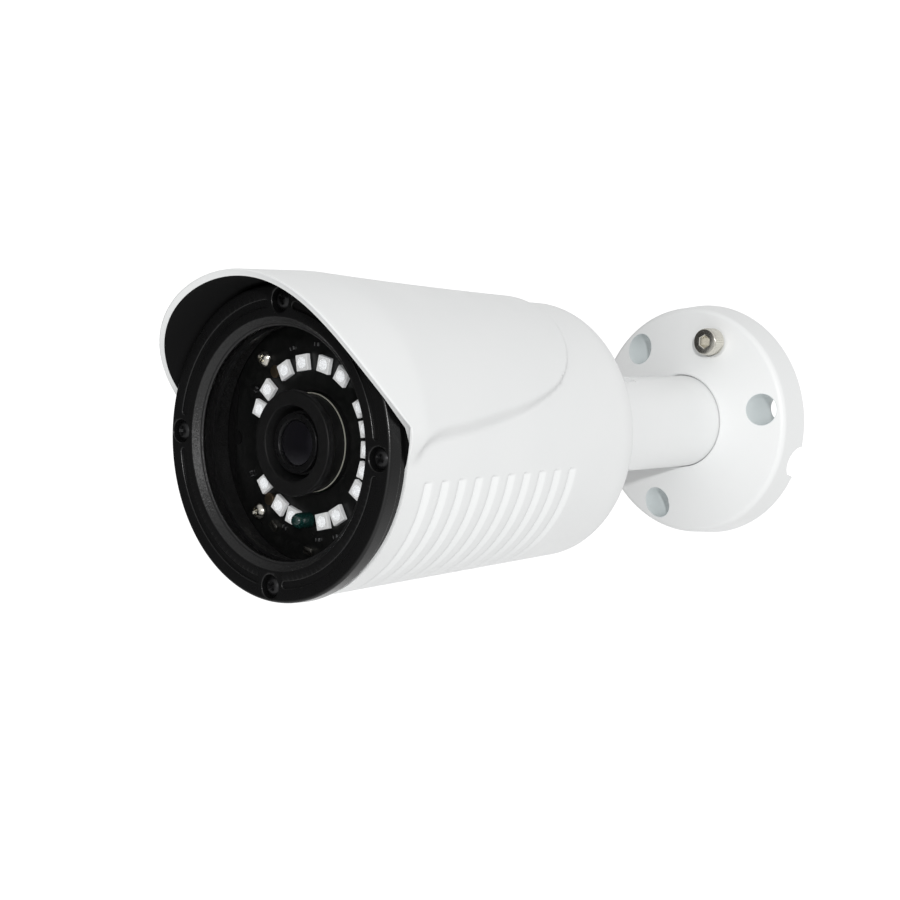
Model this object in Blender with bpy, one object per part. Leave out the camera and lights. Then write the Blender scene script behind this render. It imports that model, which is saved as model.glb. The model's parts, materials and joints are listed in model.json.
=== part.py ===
"""Wall-mounted bullet security camera: housing with sunshade, window, infrared ring, lens and boards,
on a bracket that pans at the wall base, tilts at a knuckle and lets the camera roll about its own axis.

Frame: metres, +Z up, the camera looks along -Y, the origin is the centre of the base's back face.
Lengths below are in millimetres and become metres on their way into a mesh. Camera pieces are drawn in
the camera's own frame, whose y counts backwards from the bezel's front face, and the stub's pieces in one
whose y counts from the tilt axis.
"""

import math

import bmesh
import bpy
from mathutils import Matrix

MM = 0.001
GAP = 0.3  # between faces that would touch

# Driving dimensions
FACE_TO_WALL = 156.85  # bezel front face to wall
BODY_LENGTH = 84.0  # bezel front face to the housing's rear face
HINGE_Y = 108.0  # tilt axis, behind the bezel face
BEZEL_R = 33.3
BEZEL_BACK = 5.6
SCREW_CIRCLE_R = 30.0
WINDOW_R = 24.7
LED_RING_R = 17.0
BOARD_FRONT = 11.3
BOARD_THICK = 1.2
BASE_R = 30.35
BASE_HOLE_CIRCLE_R = 23.9
BASE_HOLE_R = 4.1
BASE_HOLE_ANGLES = [11.8, 131.8, 251.8]
ARM_R = 11.9
LOCK_SCREW_R, LOCK_SCREW_ANGLE = 22.6, 70.0
NOTCH_ANGLE = -16.5

# Housing shape
BODY_R_FRONT, BODY_TAPER = 32.5, 0.030  # radius at y = 10, and what it loses per millimetre
SHADE_R_FRONT, SHADE_TAPER = 36.2, 0.0695
SHADE_END = 68.0
VISOR_Y0, VISOR_SLOPE = 6.04, 0.4735  # the visor's slanted front edge: y = y0 - slope * z
RIB_COUNT, RIB_FIRST, RIB_PITCH, RIB_WIDTH, RIB_DEPTH = 10, 12.2, 5.47, 2.7, 0.55
RIB_TOP_ANGLE, RIB_BOTTOM_ANGLE = -8.7, -70.3
RIM_BORE_R = 27.2
SHOULDER_R = 25.0
MAIN_BORE_R = 28.2
REAR_WALL = 4.0


def clear_scene():
    for obj in list(bpy.data.objects):
        bpy.data.objects.remove(obj)


def material(name, colour, roughness, metallic=0.0, transmission=0.0):
    made = bpy.data.materials.get(name)
    if made:
        return made
    made = bpy.data.materials.new(name)
    made.use_nodes = True
    shader = made.node_tree.nodes["Principled BSDF"]
    shader.inputs["Base Color"].default_value = (*colour, 1.0)
    shader.inputs["Roughness"].default_value = roughness
    shader.inputs["Metallic"].default_value = metallic
    shader.inputs["Transmission Weight"].default_value = transmission
    return made


def white_paint():
    return material("white_paint", (0.80, 0.81, 0.81), 0.45)


def black_bezel_paint():
    return material("black_bezel_paint", (0.012, 0.012, 0.012), 0.38)


def black_steel():
    return material("black_steel", (0.02, 0.02, 0.02), 0.3, 0.8)


def bright_steel():
    return material("bright_steel", (0.62, 0.61, 0.57), 0.22, 1.0)


def zinc_plate():
    return material("zinc_plate", (0.5, 0.5, 0.5), 0.35, 1.0)


def clear_glass():
    return material("clear_glass", (0.9, 0.95, 0.95), 0.03, 0.0, 0.95)


def lens_glass():
    return material("lens_glass", (0.03, 0.035, 0.04), 0.04)


def black_rubber():
    return material("black_rubber", (0.02, 0.02, 0.02), 0.75)


def black_plastic():
    return material("black_plastic", (0.015, 0.015, 0.016), 0.5)


def board_black():
    return material("board_black", (0.01, 0.011, 0.011), 0.35)


def board_green():
    return material("board_green", (0.01, 0.12, 0.05), 0.4)


def led_white():
    return material("led_white", (0.9, 0.9, 0.88), 0.25)


def empty(name, y, parent=None):
    """A joint's axis: an empty on the Y axis, y millimetres behind the wall plane or behind its parent."""
    marker = bpy.data.objects.new(name, None)
    marker.location = (0, y * MM, 0)
    marker.parent = parent
    bpy.context.scene.collection.objects.link(marker)
    return marker


def finish(name, bm, finish_material, frame, cutter=False):
    """Turns a bmesh in millimetres into an object in metres that hangs under its frame's empty."""
    bmesh.ops.remove_doubles(bm, verts=bm.verts, dist=1e-4)
    bmesh.ops.scale(bm, vec=(MM, MM, MM), verts=bm.verts)
    bmesh.ops.recalc_face_normals(bm, faces=bm.faces)
    mesh = bpy.data.meshes.new(name)
    bm.to_mesh(mesh)
    bm.free()
    mesh.materials.append(finish_material)
    mesh.shade_smooth()
    mesh.set_sharp_from_angle(angle=math.radians(35))
    obj = bpy.data.objects.new(name, mesh)
    bpy.context.scene.collection.objects.link(obj)
    obj.parent = frame
    if cutter:
        obj.hide_render = True
        obj.display_type = "WIRE"
    return obj


def cut(target, cutter, operation="DIFFERENCE"):
    modifier = target.modifiers.new(cutter.name, "BOOLEAN")
    modifier.operation = operation
    modifier.object = cutter
    return target


# Mesh builders: each adds one closed shape to a bmesh, in millimetres.


def add_turned(bm, profile, steps=32, centre=(0.0, 0.0)):
    """Turns a closed (radius, y) outline about the Y axis, or about a line beside it at centre (x, z)."""
    x, z = centre
    verts = [bm.verts.new((x + radius, y, z)) for radius, y in profile]
    edges = [bm.edges.new((a, b)) for a, b in zip(verts, verts[1:] + verts[:1])
             if not (abs(a.co.x - x) < 1e-6 and abs(b.co.x - x) < 1e-6)]
    bmesh.ops.spin(bm, geom=verts + edges, cent=(x, 0, z), axis=(0, 1, 0), dvec=(0, 0, 0),
                   angle=math.tau, steps=steps, use_merge=True, use_duplicate=False)
    bmesh.ops.remove_doubles(bm, verts=bm.verts, dist=1e-4)


def add_rod(bm, radius, y0, y1, centre=(0.0, 0.0), sides=24, turn=0.0):
    """A cylinder or prism along Y."""
    x, z = centre
    matrix = (Matrix.Translation((x, (y0 + y1) / 2, z)) @ Matrix.Rotation(math.radians(90), 4, "X")
              @ Matrix.Rotation(turn, 4, "Z"))
    bmesh.ops.create_cone(bm, cap_ends=True, segments=sides, radius1=radius, radius2=radius,
                          depth=abs(y1 - y0), matrix=matrix)


def add_cross_rod(bm, radius, x0, x1, y, z=0.0, sides=24):
    """A cylinder or prism along X."""
    matrix = Matrix.Translation(((x0 + x1) / 2, y, z)) @ Matrix.Rotation(math.radians(90), 4, "Y")
    bmesh.ops.create_cone(bm, cap_ends=True, segments=sides, radius1=radius, radius2=radius,
                          depth=abs(x1 - x0), matrix=matrix)


def add_box(bm, low, high, turn=0.0):
    """A box between two corners, turned about the Y axis."""
    size = [b - a for a, b in zip(low, high)]
    middle = [(a + b) / 2 for a, b in zip(low, high)]
    matrix = (Matrix.Rotation(turn, 4, "Y") @ Matrix.Translation(middle)
              @ Matrix.Diagonal((*size, 1.0)))
    bmesh.ops.create_cube(bm, size=1.0, matrix=matrix)


def add_prism(bm, outline, x0, x1):
    """Extrudes a (y, z) outline along X."""
    face = bm.faces.new([bm.verts.new((x0, y, z)) for y, z in outline])
    grown = bmesh.ops.extrude_face_region(bm, geom=[face])
    moved = [item for item in grown["geom"] if isinstance(item, bmesh.types.BMVert)]
    bmesh.ops.translate(bm, vec=(x1 - x0, 0, 0), verts=moved)


def add_slab(bm, outline, y0, y1):
    """Extrudes an (x, z) outline along Y."""
    face = bm.faces.new([bm.verts.new((x, y0, z)) for x, z in outline])
    grown = bmesh.ops.extrude_face_region(bm, geom=[face])
    moved = [item for item in grown["geom"] if isinstance(item, bmesh.types.BMVert)]
    bmesh.ops.translate(bm, vec=(0, y1 - y0, 0), verts=moved)


def add_loft(bm, rings):
    """Joins closed rings of points in order, and caps the two ends."""
    loops = []
    for ring_points in rings:
        verts = [bm.verts.new(point) for point in ring_points]
        loops.append([bm.edges.new((a, b)) for a, b in zip(verts, verts[1:] + verts[:1])])
    for near, far in zip(loops, loops[1:]):
        bmesh.ops.bridge_loops(bm, edges=near + far)
    for end in (loops[0], loops[-1]):
        bmesh.ops.contextual_create(bm, geom=end)


def on_circle(radius, degrees):
    angle = math.radians(degrees)
    return radius * math.cos(angle), radius * math.sin(angle)


def turned(name, profile, finish_material, frame, steps=32, centre=(0.0, 0.0)):
    bm = bmesh.new()
    add_turned(bm, profile, steps, centre)
    return finish(name, bm, finish_material, frame)


def rods_cutter(name, rods, frame, sides=16):
    """One cutter made of separate cylinders along Y: (radius, y0, y1, (x, z))."""
    bm = bmesh.new()
    for radius, y0, y1, centre in rods:
        add_rod(bm, radius, y0, y1, centre, sides)
    return finish(name, bm, black_steel(), frame, cutter=True)


def ring(inner, outer, y0, y1):
    """The outline of a plain ring."""
    return [(inner, y0), (outer, y0), (outer, y1), (inner, y1)]


def round_ring(major, minor, y, points=6):
    """The outline of an O-ring."""
    return [(major + minor * math.cos(math.tau * k / points), y + minor * math.sin(math.tau * k / points))
            for k in range(points)]


def smoothstep(low, high, value):
    t = min(max((value - low) / (high - low), 0.0), 1.0)
    return t * t * (3 - 2 * t)


# Camera housing


def body_radius(y):
    return BODY_R_FRONT - BODY_TAPER * (max(y, 0) - 10)


def shade_radius(y):
    return SHADE_R_FRONT - SHADE_TAPER * max(y - 9, 0)


def shade_edge_angle(y):
    """Lower edge of the raised sunshade, in degrees above the horizontal."""
    return 3.0 + 0.26 * max(y, 0) + 32 * smoothstep(44, 68, y) ** 1.5


def skin_radius(y, degrees):
    """Radius of the outer skin: the tapered body, with the sunshade standing proud of its upper side."""
    above = 90 - abs(90 - degrees % 360) if degrees % 360 <= 270 else degrees % 360 - 360
    edge = shade_edge_angle(y)
    side = smoothstep(edge - 3.5, edge + 3.5, above)
    rear = 1 - smoothstep(SHADE_END - 3, SHADE_END + 3, y)
    return body_radius(y) + (shade_radius(y) - body_radius(y)) * side * rear


def housing_blank(frame, columns=48):
    """The outer skin as a solid, before its front is trimmed and its inside bored."""
    bm = bmesh.new()
    rings = []
    for y in (-14, 4, 10, 24, 40, 52, 60, 65, 68, 71, 83.4, BODY_LENGTH):
        rounding = 0.6 if y == BODY_LENGTH else 0.0
        rings.append([])
        for k in range(columns):
            degrees = 360 * k / columns
            x, z = on_circle(skin_radius(y, degrees) - rounding, degrees)
            rings[-1].append((x, y, z))
    add_loft(bm, rings)
    return finish("housing", bm, white_paint(), frame)


def visor_trim(frame):
    """Everything in front of the visor's slanted edge, and in front of the lower body's edge."""
    edge_y = BEZEL_BACK + GAP
    knee_z = (VISOR_Y0 - edge_y) / VISOR_SLOPE
    top = 60
    outline = [(-40, top), (VISOR_Y0 - VISOR_SLOPE * top, top), (edge_y, knee_z), (edge_y, -top), (-40, -top)]
    bm = bmesh.new()
    add_prism(bm, outline, -60, 60)
    return finish("visor_trim", bm, black_steel(), frame, cutter=True)


def housing_bore(frame):
    """The hollow: the visor's inside, the gasket recess, the rim, the board shoulder and the main bore."""
    seat = BEZEL_BACK + 4 * GAP
    face = BEZEL_BACK + GAP
    shoulder = BOARD_FRONT + BOARD_THICK + GAP
    bore_end = BODY_LENGTH - REAR_WALL
    profile = [(0, -30), (35.4, -30), (33.7, face), (31.5, face), (31.5, seat), (RIM_BORE_R, seat),
               (RIM_BORE_R, shoulder), (SHOULDER_R, shoulder), (SHOULDER_R, shoulder + 2.4),
               (MAIN_BORE_R, shoulder + 6), (MAIN_BORE_R - 1, bore_end), (0, bore_end)]
    bm = bmesh.new()
    add_turned(bm, profile, 48)
    return finish("housing_bore", bm, black_steel(), frame, cutter=True)


def rib_cutter(frame, steps=5):
    """Shallow steps round each lower side, which fade out towards the bottom."""
    bm = bmesh.new()
    for index in range(RIB_COUNT):
        y = RIB_FIRST + RIB_PITCH * index
        front, back = y - RIB_WIDTH / 2, y + RIB_WIDTH / 2
        for side in (1, -1):
            rings = []
            for k in range(steps + 1):
                degrees = RIB_TOP_ANGLE + (RIB_BOTTOM_ANGLE - RIB_TOP_ANGLE) * k / steps
                low = body_radius(y) - RIB_DEPTH * (1 - 0.75 * k / steps)
                rings.append([])
                for radius, along in ((low, front), (low, front + 0.9), (low + 2, back + 1), (low + 2, front)):
                    x, z = on_circle(radius, degrees)
                    rings[-1].append((side * x, along, z))
            add_loft(bm, rings)
    return finish("rib_cutter", bm, black_steel(), frame, cutter=True)


STUB_HOLE_R = 6.2
GROMMET_Z = -19.0
GROMMET_HOLE_R = 4.9


def housing(frame):
    blank = housing_blank(frame)
    cut(blank, visor_trim(frame))
    cut(blank, housing_bore(frame))
    cut(blank, rib_cutter(frame))
    holes = [(1.4, BEZEL_BACK, BEZEL_BACK + 10, on_circle(SCREW_CIRCLE_R, 90 * k)) for k in range(4)]
    cut(blank, rods_cutter("bezel_screw_holes", holes, frame, 12))
    back = BODY_LENGTH - REAR_WALL - 1
    rear = [(STUB_HOLE_R, back, BODY_LENGTH + 1, (0, 0)),
            (GROMMET_HOLE_R, back, BODY_LENGTH + 1, (0, GROMMET_Z))]
    cut(blank, rods_cutter("rear_holes", rear, frame, 24))


# Front: bezel, window, screws


def bezel_profile():
    """Bezel section: flat face, cone down to the window, lip, glass pocket, skirt and side groove."""
    skirt = RIM_BORE_R - GAP
    return [(WINDOW_R, 1.6), (26.6, 0), (BEZEL_R - 0.6, 0), (BEZEL_R, 0.6), (BEZEL_R, 3.3),
            (BEZEL_R - 0.5, 3.4), (BEZEL_R - 0.5, 3.7), (BEZEL_R - 0.1, 3.8), (BEZEL_R - 0.1, BEZEL_BACK),
            (skirt, BEZEL_BACK), (skirt, BOARD_FRONT - GAP), (25.9, BOARD_FRONT - GAP), (25.9, 2.2),
            (WINDOW_R, 2.2)]


def add_arc_grooves(bm):
    """Four shallow arc grooves in the bezel's face, between its screws."""
    inner, outer, depth, clear_of_screw, steps = 28.6, 30.2, 0.35, 10.5, 6
    for quarter in range(4):
        rings = []
        for k in range(steps + 1):
            degrees = 90 * quarter + clear_of_screw + (90 - 2 * clear_of_screw) * k / steps
            rings.append([])
            for radius, y in ((inner, -1), (outer, -1), (outer, depth), (inner, depth)):
                x, z = on_circle(radius, degrees)
                rings[-1].append((x, y, z))
        add_loft(bm, rings)


def front_bezel(frame):
    bezel = turned("front_bezel", bezel_profile(), black_bezel_paint(), frame, 48)
    bm = bmesh.new()
    for k in range(4):
        add_turned(bm, [(0, -2), (2.45, -2), (2.45, 1.9), (1.45, 1.9), (1.45, 9), (0, 9)], 14,
                   on_circle(SCREW_CIRCLE_R, 90 * k))
    add_arc_grooves(bm)
    cut(bezel, finish("bezel_cuts", bm, black_steel(), frame, cutter=True))


def bezel_gasket(frame):
    y0 = BEZEL_BACK + GAP
    gasket = turned("bezel_gasket", ring(27.5, 31.2, y0, y0 + 0.6), black_rubber(), frame, 36)
    places = [on_circle(SCREW_CIRCLE_R, 90 * k) for k in range(4)]
    cut(gasket, rods_cutter("gasket_holes", [(1.45, 4, 9, place) for place in places], frame, 12))


def bezel_screw_profile():
    """Half section of a pan-head screw: head in the counterbore, shank through bezel and gasket."""
    return [(0, 0.35), (1.5, 0.35), (2.1, 0.7), (2.1, 1.6), (1.1, 1.6), (1.1, 13), (0, 13.6)]


def bezel_screws(frame):
    for index in range(4):
        centre = on_circle(SCREW_CIRCLE_R, 90 * index)
        turned(f"bezel_screw_{index + 1}", bezel_screw_profile(), black_steel(), frame, 12, centre)


def window(frame):
    glass_front = 2.2 + GAP
    turned("front_glass", [(0, glass_front), (25.6, glass_front), (25.6, glass_front + 1.8),
                           (0, glass_front + 1.8)], clear_glass(), frame, 36)
    back = glass_front + 1.8 + GAP
    turned("glass_gasket", ring(24.6, 25.6, back, back + 1.0), black_rubber(), frame, 36)


# Infrared ring


BOARD_SCREW_R = 23.0
FLAT_X = 24.2  # where the board's two sides are cut off


def board_screw_places():
    return [on_circle(BOARD_SCREW_R, 133.5), on_circle(BOARD_SCREW_R, 226.5), (FLAT_X - 2.8, 0)]


def led_angles():
    """Sixteen emitters: five right, four above, three left and four below with the light sensor between."""
    right = [15.4 * k for k in range(-2, 3)]
    above = [59.6, 79.0, 101.0, 120.4]
    left = [143.5, 160.5, 217.0]
    below = [238.6, 254.4, 285.6, 301.4]
    return right + above + left + below


def led_board(frame):
    board = turned("led_board", ring(10.9, RIM_BORE_R - 0.4, BOARD_FRONT, BOARD_FRONT + BOARD_THICK),
                   board_black(), frame, 36)
    bm = bmesh.new()
    add_box(bm, (FLAT_X, 5, -20), (40, 15, 20))
    add_box(bm, (-40, 5, -20), (-FLAT_X, 15, 20))
    cut(board, finish("board_flats", bm, black_steel(), frame, cutter=True))
    holes = [(1.4, 5, 15, centre) for centre in board_screw_places()]
    notch = (1.6, 5, 15, (-FLAT_X, -1.4))
    cut(board, rods_cutter("board_holes", holes + [notch], frame, 12))


def led_board_screws(frame):
    head = BOARD_FRONT - GAP
    profile = [(0, head - 1.2), (1.3, head - 1.2), (1.9, head - 0.6), (1.9, head), (1.0, head), (1.0, 16),
               (0, 16.4)]
    for index, centre in enumerate(board_screw_places()):
        turned(f"led_board_screw_{index + 1}", profile, bright_steel(), frame, 12, centre)


def standoffs(frame):
    y0, y1 = BOARD_FRONT + BOARD_THICK + GAP, MAIN_BOARD_Y - GAP
    profile = [(1.3, y0), (1.5, y0), (1.5, y1), (0, y1), (0, 18), (1.3, 18)]
    for index, centre in enumerate(board_screw_places()):
        turned(f"board_standoff_{index + 1}", profile, zinc_plate(), frame, 12, centre)


def ir_leds(frame):
    """Each emitter: a square package with a domed top, lofted through rings of eight points."""
    back = BOARD_FRONT - GAP
    front = back - 0.9
    half = 1.75
    square = [(half, 0), (half, half), (0, half), (-half, half), (-half, 0), (-half, -half), (0, -half),
              (half, -half)]
    for index, angle in enumerate(led_angles()):
        x, z = on_circle(LED_RING_R, angle)
        rings = [[(a, y, b) for a, b in square] for y in (back, front)]
        for radius, y in ((1.45, front), (1.25, front - 0.55), (0.7, front - 0.9)):
            rings.append([(a, y, b) for a, b in (on_circle(radius, 45 * k) for k in range(8))])
        bm = bmesh.new()
        add_loft(bm, rings)
        package = finish(f"ir_led_{index + 1:02d}", bm, led_white(), frame)
        package.location = (x * MM, 0, z * MM)
        package.rotation_euler = (0, -math.radians(angle - 90), 0)


def light_sensor(frame):
    back = BOARD_FRONT - GAP
    x, z = on_circle(16.7, 268.6)
    turned("light_sensor", [(0, 6.5), (0.9, 6.75), (1.5, 7.4), (1.7, 8.2), (1.7, back), (0, back)],
           material("sensor_green", (0.01, 0.05, 0.045), 0.15), frame, 16, (x, z))


# Lens and filter


LENS_FRONT = 5.8
MAIN_BOARD_Y = 30.0
POWER_BOARD_Y = 44.0
HOLDER_FRONT = 23.4
FILTER_Y = HOLDER_FRONT + 1.95


def lens_shield(frame):
    turned("lens_shield", [(8.1, 4.7), (11.2, 4.7), (11.2, 6.4), (10.4, 7.4), (10.3, 12.6), (7.7, 12.6),
                           (7.7, 6.4)], black_rubber(), frame, 28)


def lens(frame):
    turned("lens_barrel", [(4.0, LENS_FRONT + 1.6), (6.8, LENS_FRONT + 1.6), (6.8, 9.6), (6.0, 10),
                           (6.0, 22), (3.2, 22), (3.2, 9.4), (4.0, 9.4)], black_plastic(), frame, 24)
    turned("lens_retaining_ring", [(5.1, LENS_FRONT), (6.4, LENS_FRONT), (6.4, LENS_FRONT + 1.3),
                                   (5.1, LENS_FRONT + 1.3)], black_plastic(), frame, 24)
    turned("lens_front_element", [(0, LENS_FRONT - 0.1), (2.4, LENS_FRONT + 0.1), (4.7, LENS_FRONT + 0.7),
                                  (4.7, LENS_FRONT + 1.3), (0, LENS_FRONT + 1.3)], lens_glass(), frame, 24)


def lens_holder(frame):
    """Tube on a square foot, with a slot that the infrared-cut filter slides in."""
    foot_back = MAIN_BOARD_Y - GAP
    bm = bmesh.new()
    add_rod(bm, 7.3, 13, HOLDER_FRONT + 1, sides=24)
    tube = finish("lens_holder", bm, black_plastic(), frame)
    bm = bmesh.new()
    add_box(bm, (-11, HOLDER_FRONT, -8), (11, foot_back, 8))
    cut(tube, finish("holder_foot", bm, black_plastic(), frame, cutter=True), "UNION")
    cut(tube, rods_cutter("holder_bore", [(6.35, 10, HOLDER_FRONT + 1.5, (0, 0))], frame, 24))
    bm = bmesh.new()
    add_box(bm, (-9.6, HOLDER_FRONT + 1.3, -5), (9.6, HOLDER_FRONT + 2.6, 5))
    cut(tube, finish("filter_slot", bm, black_plastic(), frame, cutter=True))
    bm = bmesh.new()
    add_box(bm, (-5, HOLDER_FRONT + 2.4, -4.6), (5, foot_back + 1, 4.6))
    cut(tube, finish("sensor_pocket", bm, black_plastic(), frame, cutter=True))


def ir_cut_filter(frame):
    """A glass slide, drawn about its own slide axis. It stands over the lens by day and aside at night."""
    bm = bmesh.new()
    add_box(bm, (-9.3, -0.35, -4.6), (2.9, 0.35, 4.6))
    finish("ir_cut_filter", bm, material("filter_glass", (0.25, 0.55, 0.6), 0.05, 0, 0.8), frame)


def image_sensor(frame):
    bm = bmesh.new()
    back = MAIN_BOARD_Y - GAP
    add_box(bm, (-4.2, back - 1.2, -3.8), (4.2, back, 3.8))
    finish("image_sensor", bm, material("sensor_chip", (0.05, 0.05, 0.07), 0.2), frame)


# Boards behind the lens


def main_board(frame):
    board = turned("main_board", [(0, MAIN_BOARD_Y), (24.2, MAIN_BOARD_Y), (24.2, MAIN_BOARD_Y + 1.2),
                                  (0, MAIN_BOARD_Y + 1.2)], board_green(), frame, 28)
    holes = [(0.6, 25, 35, on_circle(18.5, 45 + 90 * k)) for k in range(4)]
    cut(board, rods_cutter("main_board_vias", holes, frame, 8))


def processor(frame):
    y0 = MAIN_BOARD_Y + 1.2 + GAP
    bm = bmesh.new()
    add_box(bm, (-7, y0, -7), (7, y0 + 1.4, 7))
    finish("processor", bm, black_plastic(), frame)


def board_header(frame):
    y0 = MAIN_BOARD_Y + 1.2 + GAP
    bm = bmesh.new()
    add_box(bm, (-10, y0, 11), (10, POWER_BOARD_Y - GAP, 15))
    finish("board_header", bm, black_plastic(), frame)


def power_board(frame):
    """Power and network board, with its coil and capacitor standing on the rear side."""
    top = POWER_BOARD_Y + 1.2
    board = turned("power_board", [(0, POWER_BOARD_Y), (23.6, POWER_BOARD_Y), (23.6, top), (0, top)],
                   board_green(), frame, 28)
    bm = bmesh.new()
    add_rod(bm, 4.0, top - 0.5, top + 9, (-12, 8), 16)
    add_box(bm, (6, top - 0.5, 4), (18, top + 6, 13))
    add_box(bm, (-8, top - 0.5, -19), (8, top + 7, -12))
    cut(board, finish("power_components", bm, board_green(), frame, cutter=True), "UNION")


# Rear fittings


def cable_grommet(frame):
    wall = BODY_LENGTH - REAR_WALL
    profile = [(1.9, wall - GAP - 1.2), (5.9, wall - GAP - 1.2), (5.9, wall - GAP), (4.6, wall - GAP),
               (4.6, BODY_LENGTH + GAP), (6.4, BODY_LENGTH + GAP), (6.0, BODY_LENGTH + 1.8),
               (3.4, BODY_LENGTH + 4.5), (1.9, BODY_LENGTH + 4.5)]
    turned("cable_grommet", profile, black_rubber(), frame, 20, (0, GROMMET_Z))


def stub_seal(frame):
    turned("stub_seal", round_ring(8.5, 0.7, BODY_LENGTH + 1.05), black_rubber(), frame, 24)


REAR_FACE = BODY_LENGTH - HINGE_Y  # of the housing, from the tilt axis


def swivel_stub(frame):
    """Flange and threaded shank that carry the camera, with the tongue that tilts in the arm's fork."""
    flange = REAR_FACE + GAP
    shank_end = REAR_FACE - REAR_WALL - 8
    stub = turned("swivel_stub", [(0, shank_end), (5.4, shank_end), (5.9, shank_end + 0.6), (5.9, flange),
                                  (7.4, flange), (7.4, flange + 1.5), (9.6, flange + 1.5), (9.6, flange),
                                  (11, flange), (11, flange + 2.4), (10.4, flange + 3.0),
                                  (0, flange + 3.0)], white_paint(), frame, 28)
    bm = bmesh.new()
    add_box(bm, (-4, flange + 2, -8.6), (4, -2, 8.6))
    cut(stub, finish("stub_neck", bm, white_paint(), frame, cutter=True), "UNION")
    bm = bmesh.new()
    add_cross_rod(bm, 10.4, -4.0, 4.0, 0, sides=28)
    cut(stub, finish("stub_tongue", bm, white_paint(), frame, cutter=True), "UNION")
    bm = bmesh.new()
    add_cross_rod(bm, 2.35, -6, 6, 0)
    cut(stub, finish("tongue_hole", bm, white_paint(), frame, cutter=True))


def stub_fasteners(frame):
    front = REAR_FACE - REAR_WALL - GAP
    turned("stub_washer", ring(6.3, 10.5, front - 1.0, front), zinc_plate(), frame, 24)
    nut_back = front - 1.0 - GAP
    bm = bmesh.new()
    add_rod(bm, 9.2, nut_back - 5, nut_back, sides=6)
    nut = finish("stub_nut", bm, zinc_plate(), frame)
    cut(nut, rods_cutter("nut_thread", [(6.25, nut_back - 8, nut_back + 3, (0, 0))], frame, 24))


# Bracket arm and its tilt hinge


def arm(frame):
    """Round arm with a domed, slotted end. Its rear flange turns inside the wall base."""
    hinge = HINGE_Y - FACE_TO_WALL
    dome = [(ARM_R * math.sin(math.radians(a)), hinge - ARM_R * math.cos(math.radians(a)))
            for a in range(0, 90, 10)]
    profile = dome + [(ARM_R, hinge), (ARM_R, -7.4), (16.4, -7.4), (16.4, -4.9), (0, -4.9)]
    body = turned("arm", profile, white_paint(), frame, 32)
    bm = bmesh.new()
    add_box(bm, (-4.35, hinge - 20, -20), (4.35, hinge + 12.5, 20))
    cut(body, finish("fork_slot", bm, white_paint(), frame, cutter=True))
    bm = bmesh.new()
    add_cross_rod(bm, 2.35, -20, 9.5, hinge)
    cut(body, finish("fork_hole", bm, white_paint(), frame, cutter=True))
    bm = bmesh.new()
    add_cross_rod(bm, 4.0, -20, -8.0, hinge)
    cut(body, finish("head_recess", bm, white_paint(), frame, cutter=True))


def tilt_screw(frame):
    """Socket-head cap screw across the fork, threaded into the far tine."""
    hinge = HINGE_Y - FACE_TO_WALL
    bm = bmesh.new()
    add_cross_rod(bm, 3.5, -11.7, -8.3, hinge)
    screw = finish("tilt_screw", bm, bright_steel(), frame)
    bm = bmesh.new()
    add_cross_rod(bm, 2.0, -9, 9, hinge)
    cut(screw, finish("tilt_screw_shank", bm, bright_steel(), frame, cutter=True), "UNION")
    bm = bmesh.new()
    add_cross_rod(bm, 1.7, -13, -9.8, hinge, sides=6)
    cut(screw, finish("tilt_screw_socket", bm, bright_steel(), frame, cutter=True))


# Wall base and the clamp that holds the arm


ROOF = -7.0
POCKET_ROOF = -8.6
POCKET_R = 17.0
PLATE_SCREW_R = 21.0
PLATE_SCREW_ANGLES = [190.0, 310.0]


def base_face(radius):
    """The domed front face: distance from the wall at a radius."""
    return -12.55 + 0.0047 * radius**2


def base_profile():
    face = [(radius, base_face(radius)) for radius in (12.9, 17, 21, 25, 28.3)]
    edge = [(29.1, -8.45), (29.6, -7.7)]
    return ([(12.3, base_face(12.9) + 0.5)] + face + edge
            + [(BASE_R, 0), (BASE_R, 1), (27.6, 1), (27.6, ROOF), (POCKET_R, ROOF), (POCKET_R, POCKET_ROOF),
               (12.3, POCKET_ROOF)])


def wall_base(frame):
    base = turned("wall_base", base_profile(), white_paint(), frame, 48)
    bm = bmesh.new()
    for angle in BASE_HOLE_ANGLES:
        add_rod(bm, 6.4, ROOF - 0.8, 2, on_circle(BASE_HOLE_CIRCLE_R - 0.4, angle), 20)
    for angle in PLATE_SCREW_ANGLES:
        add_rod(bm, 3.4, ROOF - 0.8, -4.9, on_circle(PLATE_SCREW_R, angle), 16)
    cut(base, finish("base_bosses", bm, white_paint(), frame, cutter=True), "UNION")
    bm = bmesh.new()
    add_box(bm, (-40, 0, -40), (40, 5, 40))
    cut(base, finish("wall_plane", bm, white_paint(), frame, cutter=True))
    wall_holes = [(BASE_HOLE_R, -20, 5, on_circle(BASE_HOLE_CIRCLE_R, angle)) for angle in BASE_HOLE_ANGLES]
    cut(base, rods_cutter("wall_screw_holes", wall_holes, frame, 20))
    lock = on_circle(LOCK_SCREW_R, LOCK_SCREW_ANGLE)
    cut(base, rods_cutter("lock_spot_face", [(4.1, -20, -9.95, lock)], frame, 20))
    small = [(2.35, -20, 5, lock)]
    small += [(1.8, -9.2, 0, on_circle(PLATE_SCREW_R, angle)) for angle in PLATE_SCREW_ANGLES]
    cut(base, rods_cutter("lock_and_plate_holes", small, frame, 12))
    bm = bmesh.new()
    add_cross_rod(bm, 4.2, 24, 36, 0, sides=20)
    bmesh.ops.rotate(bm, verts=bm.verts, cent=(0, 0, 0),
                     matrix=Matrix.Rotation(-math.radians(NOTCH_ANGLE), 3, "Y"))
    cut(base, finish("cable_notch", bm, white_paint(), frame, cutter=True))


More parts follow.
